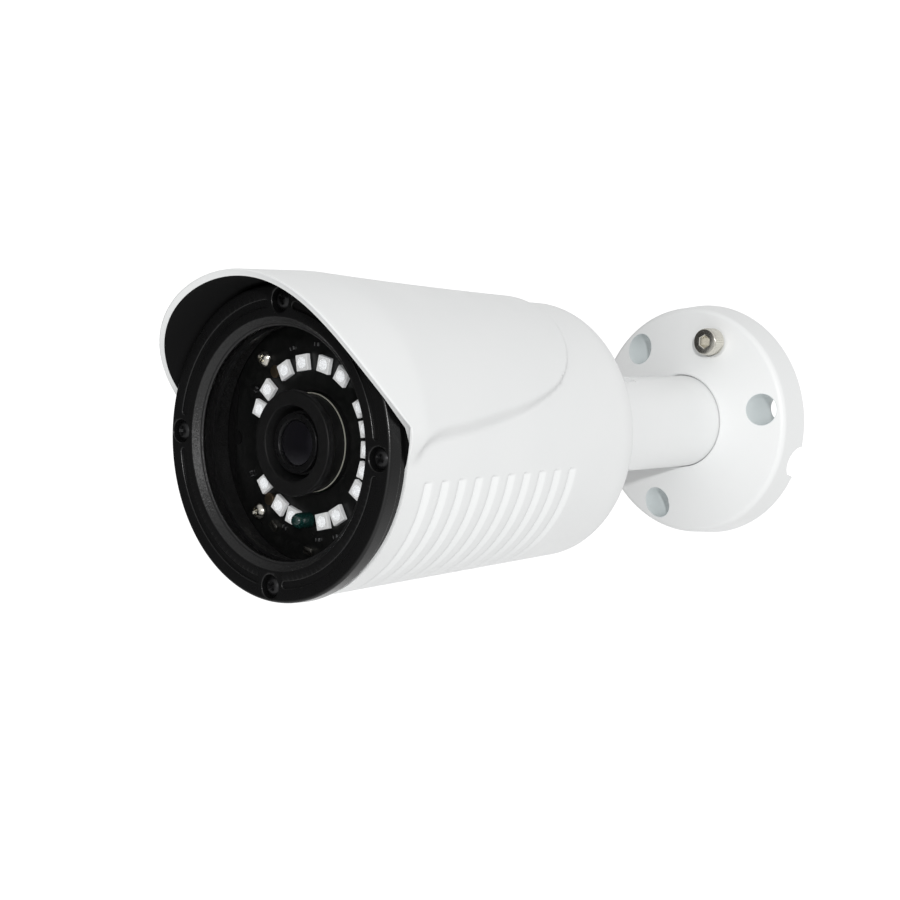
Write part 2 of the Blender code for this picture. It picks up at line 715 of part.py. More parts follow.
def plate_outline(ears, disc_r, ear_r):
    """A disc with round-ended ears, each given by its angle and the radius that its end is centred on."""
    flank = math.degrees(math.asin(ear_r / disc_r))
    points = []
    for (angle, reach), (after, _) in zip(ears, ears[1:] + ears[:1]):
        x, z = on_circle(reach, angle)
        for k in range(9):
            dx, dz = on_circle(ear_r, angle - 90 + 22.5 * k)
            points.append((x + dx, z + dz))
        span = (after - angle) % 360 - 2 * flank
        points += [on_circle(disc_r, angle + flank + span * k / 9) for k in range(10)]
    return points


def clamp_plate(frame):
    """Plate behind the arm's flange. The lock screw pulls it forward, which stops the arm turning."""
    ears = [(LOCK_SCREW_ANGLE, LOCK_SCREW_R)] + [(angle, PLATE_SCREW_R) for angle in PLATE_SCREW_ANGLES]
    bm = bmesh.new()
    add_slab(bm, plate_outline(ears, 16.6, 3.8), -4.6, -2.6)
    plate = finish("clamp_plate", bm, zinc_plate(), frame)
    holes = [(2.35, -8, 2, on_circle(LOCK_SCREW_R, LOCK_SCREW_ANGLE))]
    holes += [(1.8, -8, 2, on_circle(PLATE_SCREW_R, angle)) for angle in PLATE_SCREW_ANGLES]
    cut(plate, rods_cutter("plate_holes", holes, frame, 16))


def base_fasteners(frame):
    """The socket-head lock screw, the clamp plate's two screws and the arm's friction washer."""
    x, z = on_circle(LOCK_SCREW_R, LOCK_SCREW_ANGLE)
    head = -9.95 - GAP
    screw = turned("arm_lock_screw", [(0, head - 4), (3.1, head - 4), (3.5, head - 3.6), (3.5, head),
                                      (2.0, head), (2.0, -1.2), (0, -1.2)], bright_steel(), frame, 24, (x, z))
    bm = bmesh.new()
    add_rod(bm, 1.75, head - 6, head - 2, (x, z), 6)
    cut(screw, finish("lock_screw_socket", bm, bright_steel(), frame, cutter=True))
    for index, angle in enumerate(PLATE_SCREW_ANGLES):
        profile = [(0, -8.8), (1.5, -8.4), (1.5, -2.3), (2.9, -2.3), (2.9, -1.3), (2.2, -0.7), (0, -0.7)]
        turned(f"plate_screw_{index + 1}", profile, zinc_plate(), frame, 14, on_circle(PLATE_SCREW_R, angle))
    turned("friction_washer", ring(12.5, 16.4, POCKET_ROOF + GAP, -7.7),
           material("fibre_washer", (0.25, 0.08, 0.04), 0.8), frame, 28)


def build():
    clear_scene()
    base_frame = empty("base_centre", 0)
    pan_axis = empty("pan_axis", 0, base_frame)
    tilt_axis = empty("tilt_axis", HINGE_Y - FACE_TO_WALL, pan_axis)
    roll_axis = empty("roll_axis", -HINGE_Y, tilt_axis)
    filter_axis = empty("filter_slide_axis", FILTER_Y, roll_axis)

    for piece in (wall_base, clamp_plate, base_fasteners):
        piece(base_frame)
    for piece in (arm, tilt_screw):
        piece(pan_axis)
    for piece in (swivel_stub, stub_fasteners):
        piece(tilt_axis)
    for piece in (housing, front_bezel, bezel_gasket, bezel_screws, window, led_board, led_board_screws,
                  standoffs, ir_leds, light_sensor, lens_shield, lens, lens_holder, image_sensor, main_board,
                  processor, board_header, power_board, cable_grommet, stub_seal):
        piece(roll_axis)
    ir_cut_filter(filter_axis)


build()
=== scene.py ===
# %% [markdown]
# # A bullet security camera on its wall bracket
#
# The packed CAD model already says where every part is, how big it is and what it moves with. This lesson
# dresses it. Parts that only need a finish keep their CAD mesh. Parts whose surface shows, such as the cast
# housing, the front ring or the emitters, are built again with finer meshes in the same places.
#
# The real object is a die-cast aluminium tube in white powder coat. Its upper side carries a sunshade that
# runs out into a visor. A black ring is screwed to its front and holds a flat window. Behind the window a
# ring-shaped circuit board carries infrared emitters round the lens.

# %% Load the frame
import json
import math

import bmesh
import bpy
import numpy as np
from mathutils import Matrix, Vector


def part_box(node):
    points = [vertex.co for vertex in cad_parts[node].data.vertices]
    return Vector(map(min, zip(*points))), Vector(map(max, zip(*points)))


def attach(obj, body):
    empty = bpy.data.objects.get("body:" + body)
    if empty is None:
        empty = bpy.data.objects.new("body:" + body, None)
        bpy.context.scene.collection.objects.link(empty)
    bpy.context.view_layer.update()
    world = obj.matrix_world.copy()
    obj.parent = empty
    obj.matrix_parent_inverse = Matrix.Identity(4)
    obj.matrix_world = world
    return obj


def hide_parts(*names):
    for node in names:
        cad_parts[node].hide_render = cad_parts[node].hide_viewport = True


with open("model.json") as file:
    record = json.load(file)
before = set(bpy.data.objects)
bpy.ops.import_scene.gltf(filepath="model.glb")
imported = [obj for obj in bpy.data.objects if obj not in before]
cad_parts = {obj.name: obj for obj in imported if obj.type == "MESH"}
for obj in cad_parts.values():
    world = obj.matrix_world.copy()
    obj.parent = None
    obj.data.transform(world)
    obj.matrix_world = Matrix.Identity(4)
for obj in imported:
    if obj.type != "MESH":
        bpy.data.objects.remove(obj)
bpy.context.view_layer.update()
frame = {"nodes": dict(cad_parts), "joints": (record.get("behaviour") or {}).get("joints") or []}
nodes = frame["nodes"]

# %% [markdown]
# Lengths in this lesson are millimetres, because that is how such a part is drawn. The camera's own pieces
# are drawn in a frame whose y starts at the front ring's face and grows towards the wall. The base's pieces
# use the model's own frame, whose y is 0 at the wall. Both places are read from the CAD.

# %% Sizes that the CAD gives
MM = 0.001


def corner_mm(node, side):
    """A node's lowest (side 0) or highest (side 1) corner, in millimetres."""
    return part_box(node)[side] / MM


joint_places = {joint["name"]: joint for joint in frame["joints"]}
FACE_Y = corner_mm("front_bezel", 0).y
BEZEL_R = corner_mm("front_bezel", 1).x
BODY_LENGTH = corner_mm("housing", 1).y - FACE_Y
BASE_R = corner_mm("wall_base", 1).x
HINGE_Y = joint_places["tilt_hinge"]["pos_m"][1] / MM
BOARD_Y = corner_mm("led_board", 0).y - FACE_Y
GAP = 0.3
print(f"face {FACE_Y:.2f}, body {BODY_LENGTH:.1f}, hinge {HINGE_Y:.2f}, board {BOARD_Y:.2f}")

# %% [markdown]
# ## Finishes
#
# Each finish is a small network of shader nodes. Writing one node at a time hides what it works out, so a
# class wraps a socket and gives it Python's operators: `1 - mask * 0.5` adds the Math nodes for that. Any
# other node comes from one method that takes its type, its settings and the values of its sockets. Patterns
# read Object coordinates, so they stay on a piece when it moves.

# %% A shader network in a few words


class Value:
    """A number socket that can be added, multiplied and so on."""

    def __init__(self, finish, socket):
        self.finish, self.socket = finish, socket

    def __add__(self, other):
        return self.finish.maths("ADD", self, other)

    def __sub__(self, other):
        return self.finish.maths("SUBTRACT", self, other)

    def __rsub__(self, other):
        return self.finish.maths("SUBTRACT", other, self)

    def __mul__(self, other):
        return self.finish.maths("MULTIPLY", self, other)

    __radd__ = __add__
    __rmul__ = __mul__


class Finish:
    """One material: a Principled BSDF and the nodes that feed it."""

    def __init__(self, name, colour, roughness, metallic=0.0, **settings):
        self.material = bpy.data.materials.new(name)
        self.material.use_nodes = True
        self.tree = self.material.node_tree
        self.shader = self.tree.nodes["Principled BSDF"]
        self.shader.inputs["Base Color"].default_value = (*colour, 1.0)
        self.shader.inputs["Roughness"].default_value = roughness
        self.shader.inputs["Metallic"].default_value = metallic
        for socket, value in settings.items():
            self.shader.inputs[socket.replace("_", " ")].default_value = value

    def node(self, kind, settings=None, **inputs):
        made = self.tree.nodes.new(kind)
        for key, value in (settings or {}).items():
            setattr(made, key, value)
        for key, value in inputs.items():
            self.join(made.inputs[int(key[1:])] if key[0] == "i" and key[1:].isdigit()
                      else made.inputs[key.replace("_", " ")], value)
        return made

    def join(self, socket, value):
        value = getattr(value, "socket", value)
        if isinstance(value, bpy.types.NodeSocket):
            self.tree.links.new(value, socket)
        else:
            socket.default_value = value

    def maths(self, operation, *values):
        inputs = {f"i{k}": value for k, value in enumerate(values)}
        made = self.node("ShaderNodeMath", {"operation": operation}, **inputs)
        return Value(self, made.outputs[0])

    def place(self):
        """Object coordinates, in metres."""
        return self.node("ShaderNodeTexCoord").outputs["Object"]

    def noise(self, size_mm, detail=2.0, roughness=0.5):
        """Cloudy noise whose blobs are about size_mm across, from 0 to 1."""
        made = self.node("ShaderNodeTexNoise", Vector=self.place(), Scale=1 / (size_mm * MM), Detail=detail,
                         Roughness=roughness)
        return Value(self, made.outputs["Fac"])

    def cells(self, size_mm, feature="F1"):
        made = self.node("ShaderNodeTexVoronoi", {"feature": feature}, Vector=self.place(),
                         Scale=1 / (size_mm * MM))
        return Value(self, made.outputs["Distance"])

    def steps(self, value, low, high, to_low=0.0, to_high=1.0):
        """A smooth change from to_low to to_high while value goes from low to high."""
        made = self.node("ShaderNodeMapRange", {"interpolation_type": "SMOOTHSTEP"}, Value=value,
                         From_Min=low, From_Max=high, To_Min=to_low, To_Max=to_high)
        return Value(self, made.outputs["Result"])

    def from_axis(self, x=0.0, z=0.0):
        """Distance in millimetres from an axis along Y through (x, z)."""
        offset = self.node("ShaderNodeVectorMath", {"operation": "SUBTRACT"}, i0=self.place(),
                           i1=(x * MM, 0, z * MM))
        flat = self.node("ShaderNodeVectorMath", {"operation": "MULTIPLY"}, i0=offset.outputs["Vector"],
                         i1=(1 / MM, 0, 1 / MM))
        length = self.node("ShaderNodeVectorMath", {"operation": "LENGTH"}, i0=flat.outputs["Vector"])
        return Value(self, length.outputs["Value"])

    def mix(self, share, first, second):
        """A colour between two colours."""
        made = self.node("ShaderNodeMix", {"data_type": "RGBA"})
        for socket, value in ((made.inputs[0], share), (made.inputs[6], first), (made.inputs[7], second)):
            if isinstance(value, tuple):
                value = (*value, 1.0)
            self.join(socket, value)
        return made.outputs[2]

    def colour(self, value):
        self.join(self.shader.inputs["Base Color"], value)
        return self

    def roughness(self, value):
        self.join(self.shader.inputs["Roughness"], value)
        return self

    def bump(self, height, strength, depth_mm):
        """Raises the surface by up to depth_mm where height is 1. A second bump builds on the first."""
        normal = self.shader.inputs["Normal"]
        made = self.node("ShaderNodeBump", Height=height, Strength=strength, Distance=depth_mm * MM)
        if normal.is_linked:
            self.tree.links.new(normal.links[0].from_socket, made.inputs["Normal"])
        self.tree.links.new(made.outputs["Normal"], normal)
        return self


operators = [name for name in vars(Value) if name.endswith(("add__", "sub__", "mul__"))]
print("shader maths:", ", ".join(operators))

# %% [markdown]
# Powder coat is plastic powder melted onto the casting. It flows while it is hot, so its surface has the
# shallow waves called orange peel, a few tenths of a millimetre to two millimetres across. Three things
# change from place to place: the waves, a slight unevenness of gloss, and a very faint unevenness of colour.
# The visor's inside is sprayed black against glare. Its faces carry a mark from the time the mesh is made,
# and the coat reads that mark. The front ring's black coat is rougher on the cone round the window.

# %% White and black coats


def coat_waves(finish, strength=0.25):
    finish.bump(finish.noise(1.1, 2.0), strength, 0.03)
    finish.bump(finish.noise(0.28, 1.0), strength * 0.8, 0.008)


def white_coat(name, shine=0.4):
    finish = Finish(name, (0.80, 0.81, 0.81), 0.42, Specular_IOR_Level=shine)
    cloud = finish.noise(14.0, 3.0)
    finish.colour(finish.mix(cloud, (0.785, 0.797, 0.797), (0.815, 0.822, 0.82)))
    finish.roughness(finish.noise(5.0, 2.0) * 0.14 + 0.36)
    coat_waves(finish)
    return finish


def housing_coat():
    """White coat outside; black anti-glare coat on the faces marked as inner."""
    finish = white_coat("white_coat_housing", 0.17)
    mark = finish.node("ShaderNodeAttribute", {"attribute_name": "inner"}).outputs["Fac"]
    white = finish.shader.inputs["Base Color"].links[0].from_socket
    finish.colour(finish.mix(mark, white, (0.005, 0.005, 0.0052)))
    gloss = finish.shader.inputs["Roughness"].links[0].from_socket
    finish.roughness(Value(finish, gloss) + Value(finish, mark) * 0.25)
    return finish


def ring_coat():
    """Black coat of the front ring: fine on its face, grained on the cone round the window."""
    finish = Finish("black_coat_front_ring", (0.006, 0.006, 0.0062), 0.3, Specular_IOR_Level=0.4)
    cone = 1 - finish.steps(finish.from_axis(), 26.4, 26.7)
    finish.colour(finish.mix(cone, (0.0045, 0.0045, 0.0047), (0.010, 0.010, 0.0102)))
    finish.roughness(cone * 0.06 + finish.noise(3.0, 2.0) * 0.12 + 0.22)
    finish.bump(finish.noise(0.5, 3.0, 0.65) * cone, 1.0, 0.16)
    finish.bump(finish.noise(0.4, 2.0), 0.6, 0.035)
    return finish


def base_coat(holes, radius):
    """White coat that thins to the pale grey of the bare casting on the walls of the screw holes."""
    finish = white_coat("white_coat_base")
    bare = 0.0
    for x, z in holes:
        bare = bare + (1 - finish.steps(finish.from_axis(x, z), radius, radius + 0.05))
    white = finish.shader.inputs["Base Color"].links[0].from_socket
    finish.colour(finish.mix(bare, white, (0.66, 0.70, 0.705)))
    return finish


white_paint = white_coat("white_coat")
housing_paint = housing_coat()
black_paint = ring_coat()
print("coats:", white_paint.material.name, housing_paint.material.name, black_paint.material.name)

# %% [markdown]
# Metals differ in tint and in how their scratches lie. A plated screw is smooth, with fine turning marks.
# Zinc plate is cloudy. The same few lines make all of them.

# %% Metals


def plated_metal(name, colour, shade, roughness, cloud_mm=1.6):
    finish = Finish(name, colour, roughness, 1.0)
    cloud = finish.noise(cloud_mm, 3.0, 0.6)
    finish.colour(finish.mix(cloud, shade, colour))
    finish.roughness(finish.noise(cloud_mm * 0.4, 2.0) * 0.16 + (roughness - 0.06))
    finish.bump(finish.noise(0.12, 2.0), 0.2, 0.006)
    return finish


nickel = plated_metal("nickel_plate", (0.78, 0.76, 0.70), (0.60, 0.58, 0.52), 0.17)
zinc = plated_metal("zinc_plate", (0.62, 0.63, 0.64), (0.42, 0.43, 0.45), 0.36, 3.0)
brass = plated_metal("turned_brass", (0.72, 0.55, 0.28), (0.58, 0.42, 0.2), 0.25)
bronze = plated_metal("bronze_pad", (0.30, 0.23, 0.15), (0.20, 0.15, 0.10), 0.38)
blackened = Finish("blackened_steel", (0.016, 0.016, 0.017), 0.28, 0.6)
blackened.roughness(blackened.noise(0.7, 2.0) * 0.2 + 0.2)
blackened.bump(blackened.noise(0.2, 2.0), 0.3, 0.012)
print("metals ready")

# %% [markdown]
# The rest are plastics, rubber, glass and circuit board. Moulded rubber is dull with a fine grain. Solder
# mask is glossy lacquer over copper tracks, whose edges show as a faint relief: cells of two sizes stand in
# for the tracks and the copper areas. The window is a coated flat sheet that bends no light worth seeing, so
# it is mostly transparent with a faint black gloss, and light reaches the emitters through it.

# %% Plastics, rubber, glass and boards


def moulded(name, colour, roughness, grain_mm=0.35, depth_mm=0.015, **settings):
    finish = Finish(name, colour, roughness, **settings)
    lighter = tuple(min(1.0, part * 1.25 + 0.002) for part in colour)
    finish.colour(finish.mix(finish.noise(4.0, 2.0), colour, lighter))
    finish.roughness(finish.noise(1.5, 2.0) * 0.14 + (roughness - 0.07))
    finish.bump(finish.noise(grain_mm, 2.0), 0.5, depth_mm)
    return finish


def circuit_board(name, mask, copper):
    finish = Finish(name, mask, 0.3, Specular_IOR_Level=0.45)
    areas = finish.steps(finish.cells(3.1, "DISTANCE_TO_EDGE"), 0.10, 0.14)
    tracks = finish.steps(finish.cells(0.9, "DISTANCE_TO_EDGE"), 0.18, 0.24)
    relief = areas * 0.6 + tracks * 0.4
    finish.colour(finish.mix(relief, mask, copper))
    finish.roughness(finish.noise(1.0, 2.0) * 0.14 + 0.24)
    finish.bump(relief, 0.5, 0.03)
    finish.bump(finish.noise(0.25, 1.0), 0.2, 0.006)
    return finish


def clear(name, colour, index, tint_noise=0.02):
    finish = Finish(name, colour, 0.02, Transmission_Weight=1.0, IOR=index)
    finish.roughness(finish.noise(6.0, 2.0) * tint_noise + 0.005)
    return finish


rubber = moulded("black_rubber", (0.006, 0.006, 0.0063), 0.5, 0.5, 0.07, Specular_IOR_Level=0.3)
black_plastic = moulded("black_moulded_plastic", (0.008, 0.008, 0.0085), 0.42)
fibre = moulded("red_fibre", (0.22, 0.07, 0.035), 0.8, 0.6, 0.03)
# Emission makes the emitter bodies glow faintly: painted light, since the emitters are not lit.
ceramic_with_painted_glow = moulded("white_emitter_body_painted_glow", (0.90, 0.91, 0.90), 0.35, 0.4, 0.006,
                  Emission_Color=(0.95, 0.97, 1.0, 1.0), Emission_Strength=0.12)
sensor_resin = moulded("green_sensor_resin", (0.004, 0.030, 0.026), 0.14, 0.8, 0.004, Coat_Weight=0.6)
black_board = circuit_board("black_board", (0.0045, 0.0048, 0.0048), (0.0085, 0.0088, 0.0085))
green_board = circuit_board("green_board", (0.006, 0.075, 0.030), (0.016, 0.14, 0.055))
# A pale finish, used only on the thin ring at the lens shield's foot.
pale_ring_finish = moulded("pale_ring", (0.42, 0.42, 0.36), 0.5)
chip_glass = moulded("sensor_chip", (0.05, 0.05, 0.08), 0.12, 1.0, 0.003)
window_glass = Finish("window_glass", (0.0, 0.0, 0.0), 0.02, Alpha=0.10)
window_glass.roughness(window_glass.noise(6.0) * 0.03 + 0.01)
# The domes glow as well: painted light, since the emitters are not lit.
dome_glass_with_painted_glow = Finish("emitter_dome", (0.95, 0.97, 1.0), 0.05, Alpha=0.35,
                    Emission_Color=(1.0, 1.0, 1.0, 1.0), Emission_Strength=0.35)
dome_glass_with_painted_glow.roughness(dome_glass_with_painted_glow.noise(2.0) * 0.05 + 0.02)
filter_glass = clear("filter_glass", (0.45, 0.80, 0.85), 1.45)
lens_glass = Finish("coated_lens_glass", (0.006, 0.005, 0.009), 0.03, Coat_Weight=1.0,
                    Specular_Tint=(0.75, 0.75, 1.0, 1.0))
lens_glass.colour(lens_glass.mix(lens_glass.noise(3.0), (0.003, 0.003, 0.004), (0.006, 0.005, 0.008)))
print("finishes:", len(bpy.data.materials))

# %% [markdown]
# ## Building meshes
#
# Most pieces are turned: an outline of distance from the axis and y, swept round the axis. Real edges are
# never quite sharp, and a thin bright line on a rounded edge is what makes a part look made, so an outline
# corner can carry a rounding. The sweep is written as rows of points joined into faces. The housing uses the
# same joining, with a radius that changes with the angle.

# %% Outlines and swept surfaces


def on_circle(radius, degrees):
    angle = math.radians(degrees)
    return radius * math.cos(angle), radius * math.sin(angle)


def rounded(outline, steps=4):
    """Replaces each corner (radius, y, rounding) by a short arc. A corner without a rounding stays."""
    points = []
    count = len(outline)
    for k, corner in enumerate(outline):
        here = Vector(corner[:2])
        if len(corner) < 3:
            points.append(tuple(here))
            continue
        before = Vector(outline[k - 1][:2]) - here
        after = Vector(outline[(k + 1) % count][:2]) - here
        reach = min(corner[2], before.length * 0.48, after.length * 0.48)
        start, end = here + before.normalized() * reach, here + after.normalized() * reach
        for step in range(steps + 1):
            t = step / steps
            points.append(tuple(start * (1 - t) ** 2 + here * 2 * t * (1 - t) + end * t**2))
    return points


def add_rows(bm, rows, close_rows=True, inner_rows=()):
    """Joins rows of points, each closed round, into quads; close_rows joins the last row to the first too.

    Faces behind a row that inner_rows lists are marked as inner, which a finish can read."""
    inner = bm.faces.layers.float.new("inner") if inner_rows else None
    made = [[bm.verts.new(point) for point in row] for row in rows]
    pairs = list(zip(made, made[1:]))
    if close_rows:
        pairs.append((made[-1], made[0]))
    for index, (near, far) in enumerate(pairs):
        for k in range(len(near)):
            after = (k + 1) % len(near)
            face = bm.faces.new((near[k], near[after], far[after], far[k]))
            if inner:
                face[inner] = float(index in inner_rows)


def add_turned(bm, outline, steps=128, centre=(0.0, 0.0)):
    """Turns a closed (radius, y) outline about an axis along Y through centre (x, z)."""
    rows = []
    for radius, y in rounded(outline):
        rows.append([(centre[0] + x, y, centre[1] + z)
                     for x, z in (on_circle(radius, 360 * k / steps) for k in range(steps))])
    add_rows(bm, rows)


def add_prism(bm, outline, y0, y1):
    """A straight bar along Y with the given (x, z) outline, closed at both ends."""
    ends = [[bm.verts.new((x, y, z)) for x, z in outline] for y in (y0, y1)]
    for k in range(len(outline)):
        after = (k + 1) % len(outline)
        bm.faces.new((ends[0][k], ends[0][after], ends[1][after], ends[1][k]))
    bm.faces.new(ends[0])
    bm.faces.new(ends[1])


def polygon(radius, sides, centre=(0.0, 0.0), turn=0.0):
    return [(centre[0] + x, centre[1] + z)
            for x, z in (on_circle(radius, turn + 360 * k / sides) for k in range(sides))]


def add_block(bm, low, high):
    outline = [(low[0], low[2]), (high[0], low[2]), (high[0], high[2]), (low[0], high[2])]
    add_prism(bm, outline, low[1], high[1])


def lay_across(bm):
    """Turns what was drawn along Y so that it lies along X."""
    bmesh.ops.rotate(bm, verts=bm.verts, cent=(0, 0, 0), matrix=Matrix.Rotation(-math.pi / 2, 3, "Z"))


print("a rounded square corner takes", len(rounded([(0, 0), (1, 0, 0.1), (1, 1)])) - 2, "points")

# %% [markdown]
# A bmesh becomes an object in one place. It merges doubled points, so poles and seams close, turns faces
# outwards, and scales millimetres to metres. Its points are moved, never the object, so every object sits
# at the origin. Edges that turn by more than about 35 degrees stay crisp and the rest are shaded smooth.

# %% From bmesh to object


def solid(name, bm, finish, y_shift=0.0, sharp=35.0):
    bmesh.ops.remove_doubles(bm, verts=bm.verts, dist=1e-4)
    bmesh.ops.dissolve_degenerate(bm, edges=bm.edges, dist=1e-5)
    bmesh.ops.translate(bm, verts=bm.verts, vec=(0, y_shift, 0))
    bmesh.ops.scale(bm, verts=bm.verts, vec=(MM, MM, MM))
    bmesh.ops.recalc_face_normals(bm, faces=bm.faces)
    mesh = bpy.data.meshes.new(name)
    bm.to_mesh(mesh)
    bm.free()
    mesh.shade_smooth()
    mesh.set_sharp_from_angle(angle=math.radians(sharp))
    mesh.materials.append(finish.material)
    piece = bpy.data.objects.new(name, mesh)
    bpy.context.scene.collection.objects.link(piece)
    return piece


def apply_modifiers(piece):
    """Swaps a piece's mesh for what its modifiers make of it, then removes them."""
    graph = bpy.context.evaluated_depsgraph_get()
    mesh = bpy.data.meshes.new_from_object(piece.evaluated_get(graph))
    piece.modifiers.clear()
    piece.data = mesh
    return piece


def bake_modifiers(piece, sharp=35.0):
    """Applies the modifiers and marks the crisp edges again."""
    apply_modifiers(piece)
    piece.data.shade_smooth()
    piece.data.set_sharp_from_angle(angle=math.radians(sharp))
    return piece


def combine(piece, operation, build, y_shift=0.0):
    """Cuts away or joins on the closed shapes that build(bmesh) draws."""
    bm = bmesh.new()
    build(bm)
    tool = solid("tool", bm, white_paint, y_shift)
    modifier = piece.modifiers.new("shape", "BOOLEAN")
    modifier.operation = operation
    modifier.object = tool
    tool.data.materials.clear()
    bake_modifiers(piece)
    bpy.data.objects.remove(tool)
    return piece


def even_normals(piece):
    """Flat faces stay flat and only roundings look round, as on a machined or cast part."""
    modifier = piece.modifiers.new("even", "WEIGHTED_NORMAL")
    modifier.keep_sharp = True
    return apply_modifiers(piece)


def deliver(piece, body, slot, *replaced):
    """Says which body a finished piece moves with and which CAD nodes it shows. The slot argument is not
    used.
    """
    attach(piece, body)
    if replaced:
        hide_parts(*replaced)
    print(f"{piece.name}: {len(piece.data.polygons)} faces on {body}")
    return piece


def turned_piece(name, outline, finish, y_shift=0.0, steps=128, centre=(0.0, 0.0)):
    bm = bmesh.new()
    add_turned(bm, outline, steps, centre)
    return even_normals(solid(name, bm, finish, y_shift))


print("CAD nodes waiting for a look:", len(nodes))

# %% [markdown]
# ## The housing
#
# One casting makes the body, the sunshade and the visor. Modelling it with subdivision would round its crisp
# front edge, and cutting it from a cylinder would leave thousands of slivers. Its shape follows a rule: at
# each angle round the axis and each distance from the front there is one radius. So it is a grid of rows and
# columns, and the rule says how far each point stands from the axis.
#
# The rule has three parts. The body tapers slightly. The sunshade stands proud of it above a soft edge,
# which is a curve on the unrolled side. Ten shallow steps are cut into each lower side: each has a crisp
# front wall and a floor that slopes back up to the surface.

# %% The rule for the skin's radius
# Points (y, degrees above the horizontal) of the sunshade's lower edge.
SHADE_EDGE = [(5.2, -12), (7.2, -5), (8.6, 1.2), (10.4, 5.2), (15.2, 8.0), (24.8, 10.1), (35.3, 13.3),
              (45.5, 17.2), (56.2, 24.3), (62.2, 32.6), (65.9, 42), (68.7, 54), (70.3, 67), (71.0, 90)]
UNROLL_R = 33.0  # degrees become millimetres of arc at this radius
STEP_COUNT, STEP_FIRST, STEP_PITCH, STEP_WIDTH, STEP_DEPTH = 10, 13.0, 5.40, 1.75, 0.62
STEP_TOP = -8.7  # degrees above the horizontal
STEP_ROWS = (-1.2, -0.4, -0.28, -0.16, -0.05, 0.08, 0.25, 0.9, 1.5, 2.0, 2.1, 2.9)  # y from a step's wall


def smoothstep(low, high, value):
    t = np.clip((value - low) / (high - low), 0.0, 1.0)
    return t * t * (3 - 2 * t)


def smooth_curve(points, per_span=8):
    """A Catmull-Rom curve through the points."""
    knots = np.array([points[0], *points, points[-1]], float)
    curve = []
    for a, b, c, d in zip(knots, knots[1:], knots[2:], knots[3:]):
        for t in np.arange(per_span) / per_span:
            curve.append(0.5 * (2 * b + (c - a) * t + (2 * a - 5 * b + 4 * c - d) * t**2
                                + (3 * b - a - 3 * c + d) * t**3))
    return np.array([*curve, knots[-1]])


def above_horizon(degrees):
    """How far an angle round the axis lies above the horizontal, on either side."""
    return np.degrees(np.arcsin(np.clip(np.sin(np.radians(degrees)), -1, 1)))


shade_curve = smooth_curve(SHADE_EDGE)


def inside_shade(y, above):
    """Signed distance in millimetres from the sunshade's lower edge, positive on the shade."""
    arc = np.radians(above) * UNROLL_R
    line = np.column_stack([shade_curve[:, 0], np.radians(shade_curve[:, 1]) * UNROLL_R])
    start, span = line[:-1], np.diff(line, axis=0)
    point = np.stack([y, arc], -1)[..., None, :]
    share = np.clip(((point - start) * span).sum(-1) / (span**2).sum(-1), 0, 1)
    distance = np.linalg.norm(point - start - share[..., None] * span, axis=-1).min(-1)
    edge_here = np.interp(y, line[:, 0], line[:, 1])
    inside = (arc > edge_here) & (y < line[-1, 0])
    return np.where(inside, distance, -distance)


def body_radius(y):
    return 32.5 - 0.030 * (np.maximum(y, 0) - 10)


def shade_radius(y):
    behind = np.maximum(y - 8, 0)
    return 36.2 - 0.0845 * behind + 0.00026 * behind**2


def step_walls():
    """The y of each side step's front wall."""
    return [STEP_FIRST + STEP_PITCH * k - STEP_WIDTH / 2 for k in range(STEP_COUNT)]


def step_depth(y, above):
    """Depth of the side steps: a crisp front wall, a floor that rises to the back, a fade at the bottom."""
    depth = np.zeros_like(y * above)
    for front in step_walls():
        wall = smoothstep(front - 0.4, front + 0.25, y)
        floor = 1 - np.clip((y - front - 0.3) / STEP_WIDTH, 0, 1)
        depth += wall * floor
    ends = (1 - smoothstep(STEP_TOP - 1.4, STEP_TOP, above)) * smoothstep(-78, -48, above)
    return STEP_DEPTH * depth * ends


def skin_radius(y, degrees):
    above = above_horizon(degrees)
    soft = 0.55 + 1.15 * (1 - smoothstep(30, 62, y))
    share = smoothstep(-soft, soft, inside_shade(y, above))
    at_front = 1 - smoothstep(8, 20, y)
    share = share * (1 - at_front * (1 - smoothstep(-4, 11, above)))
    return body_radius(y) + (shade_radius(y) - body_radius(y)) * share - step_depth(y, above)


print("shade at the front", shade_radius(0.0), "body at the rear", body_radius(BODY_LENGTH))

# %% [markdown]
# The visor's front is cut in a long sweep, and its rim is thin with a chamfer on the inside. Below the point
# where the sweep meets the front ring, the rim swings back to the ring's rear face. Rows near the front
# follow that edge. Behind them each row keeps one y, with rows set closely where a step's wall stands.

# %% The housing's rows
VISOR_TIP, VISOR_CURVE = -11.1, 0.0167  # y = tip + curve * (height below the crown)^2
VISOR_WALL = 0.45
KNEE, HIP = 10.8, -3.0  # degrees between which the rim swings back
RING_BACK = 5.9
COLUMN = 1.25  # degrees between columns
INSIDE_ROWS = 12  # the last rows, from the rear wall's inside to the rim


def front_edge(degrees):
    above = above_horizon(degrees)
    drop = shade_radius(0.0) * (1 - np.sin(np.radians(np.maximum(above, KNEE))))
    slanted = VISOR_TIP + VISOR_CURVE * drop**2
    swing = np.clip((above - HIP) / (KNEE - HIP), 0, 1)
    return slanted * swing + RING_BACK * (1 - swing)


def rim_radius(degrees):
    """Inner radius of the thin front rim."""
    above = above_horizon(degrees)
    swing = np.clip((above - HIP) / (KNEE - HIP), 0, 1)
    wanted = 32.0 + 3.75 * swing
    return np.clip(wanted, 31.6, skin_radius(front_edge(degrees), degrees) - VISOR_WALL)


def column_angles():
    """Even columns, twice as many over the shade's edge, and close ones where the side steps end."""
    even = list(np.arange(0, 360, COLUMN))
    right = [STEP_TOP - drop for drop in (0, 0.35, 0.7, 1.05, 1.4)]
    right += list(np.arange(8.5 * COLUMN, 80, COLUMN))
    extra = right + [180 - angle for angle in right]
    return np.array(sorted(set(round(a % 360, 3) for a in even + extra)))


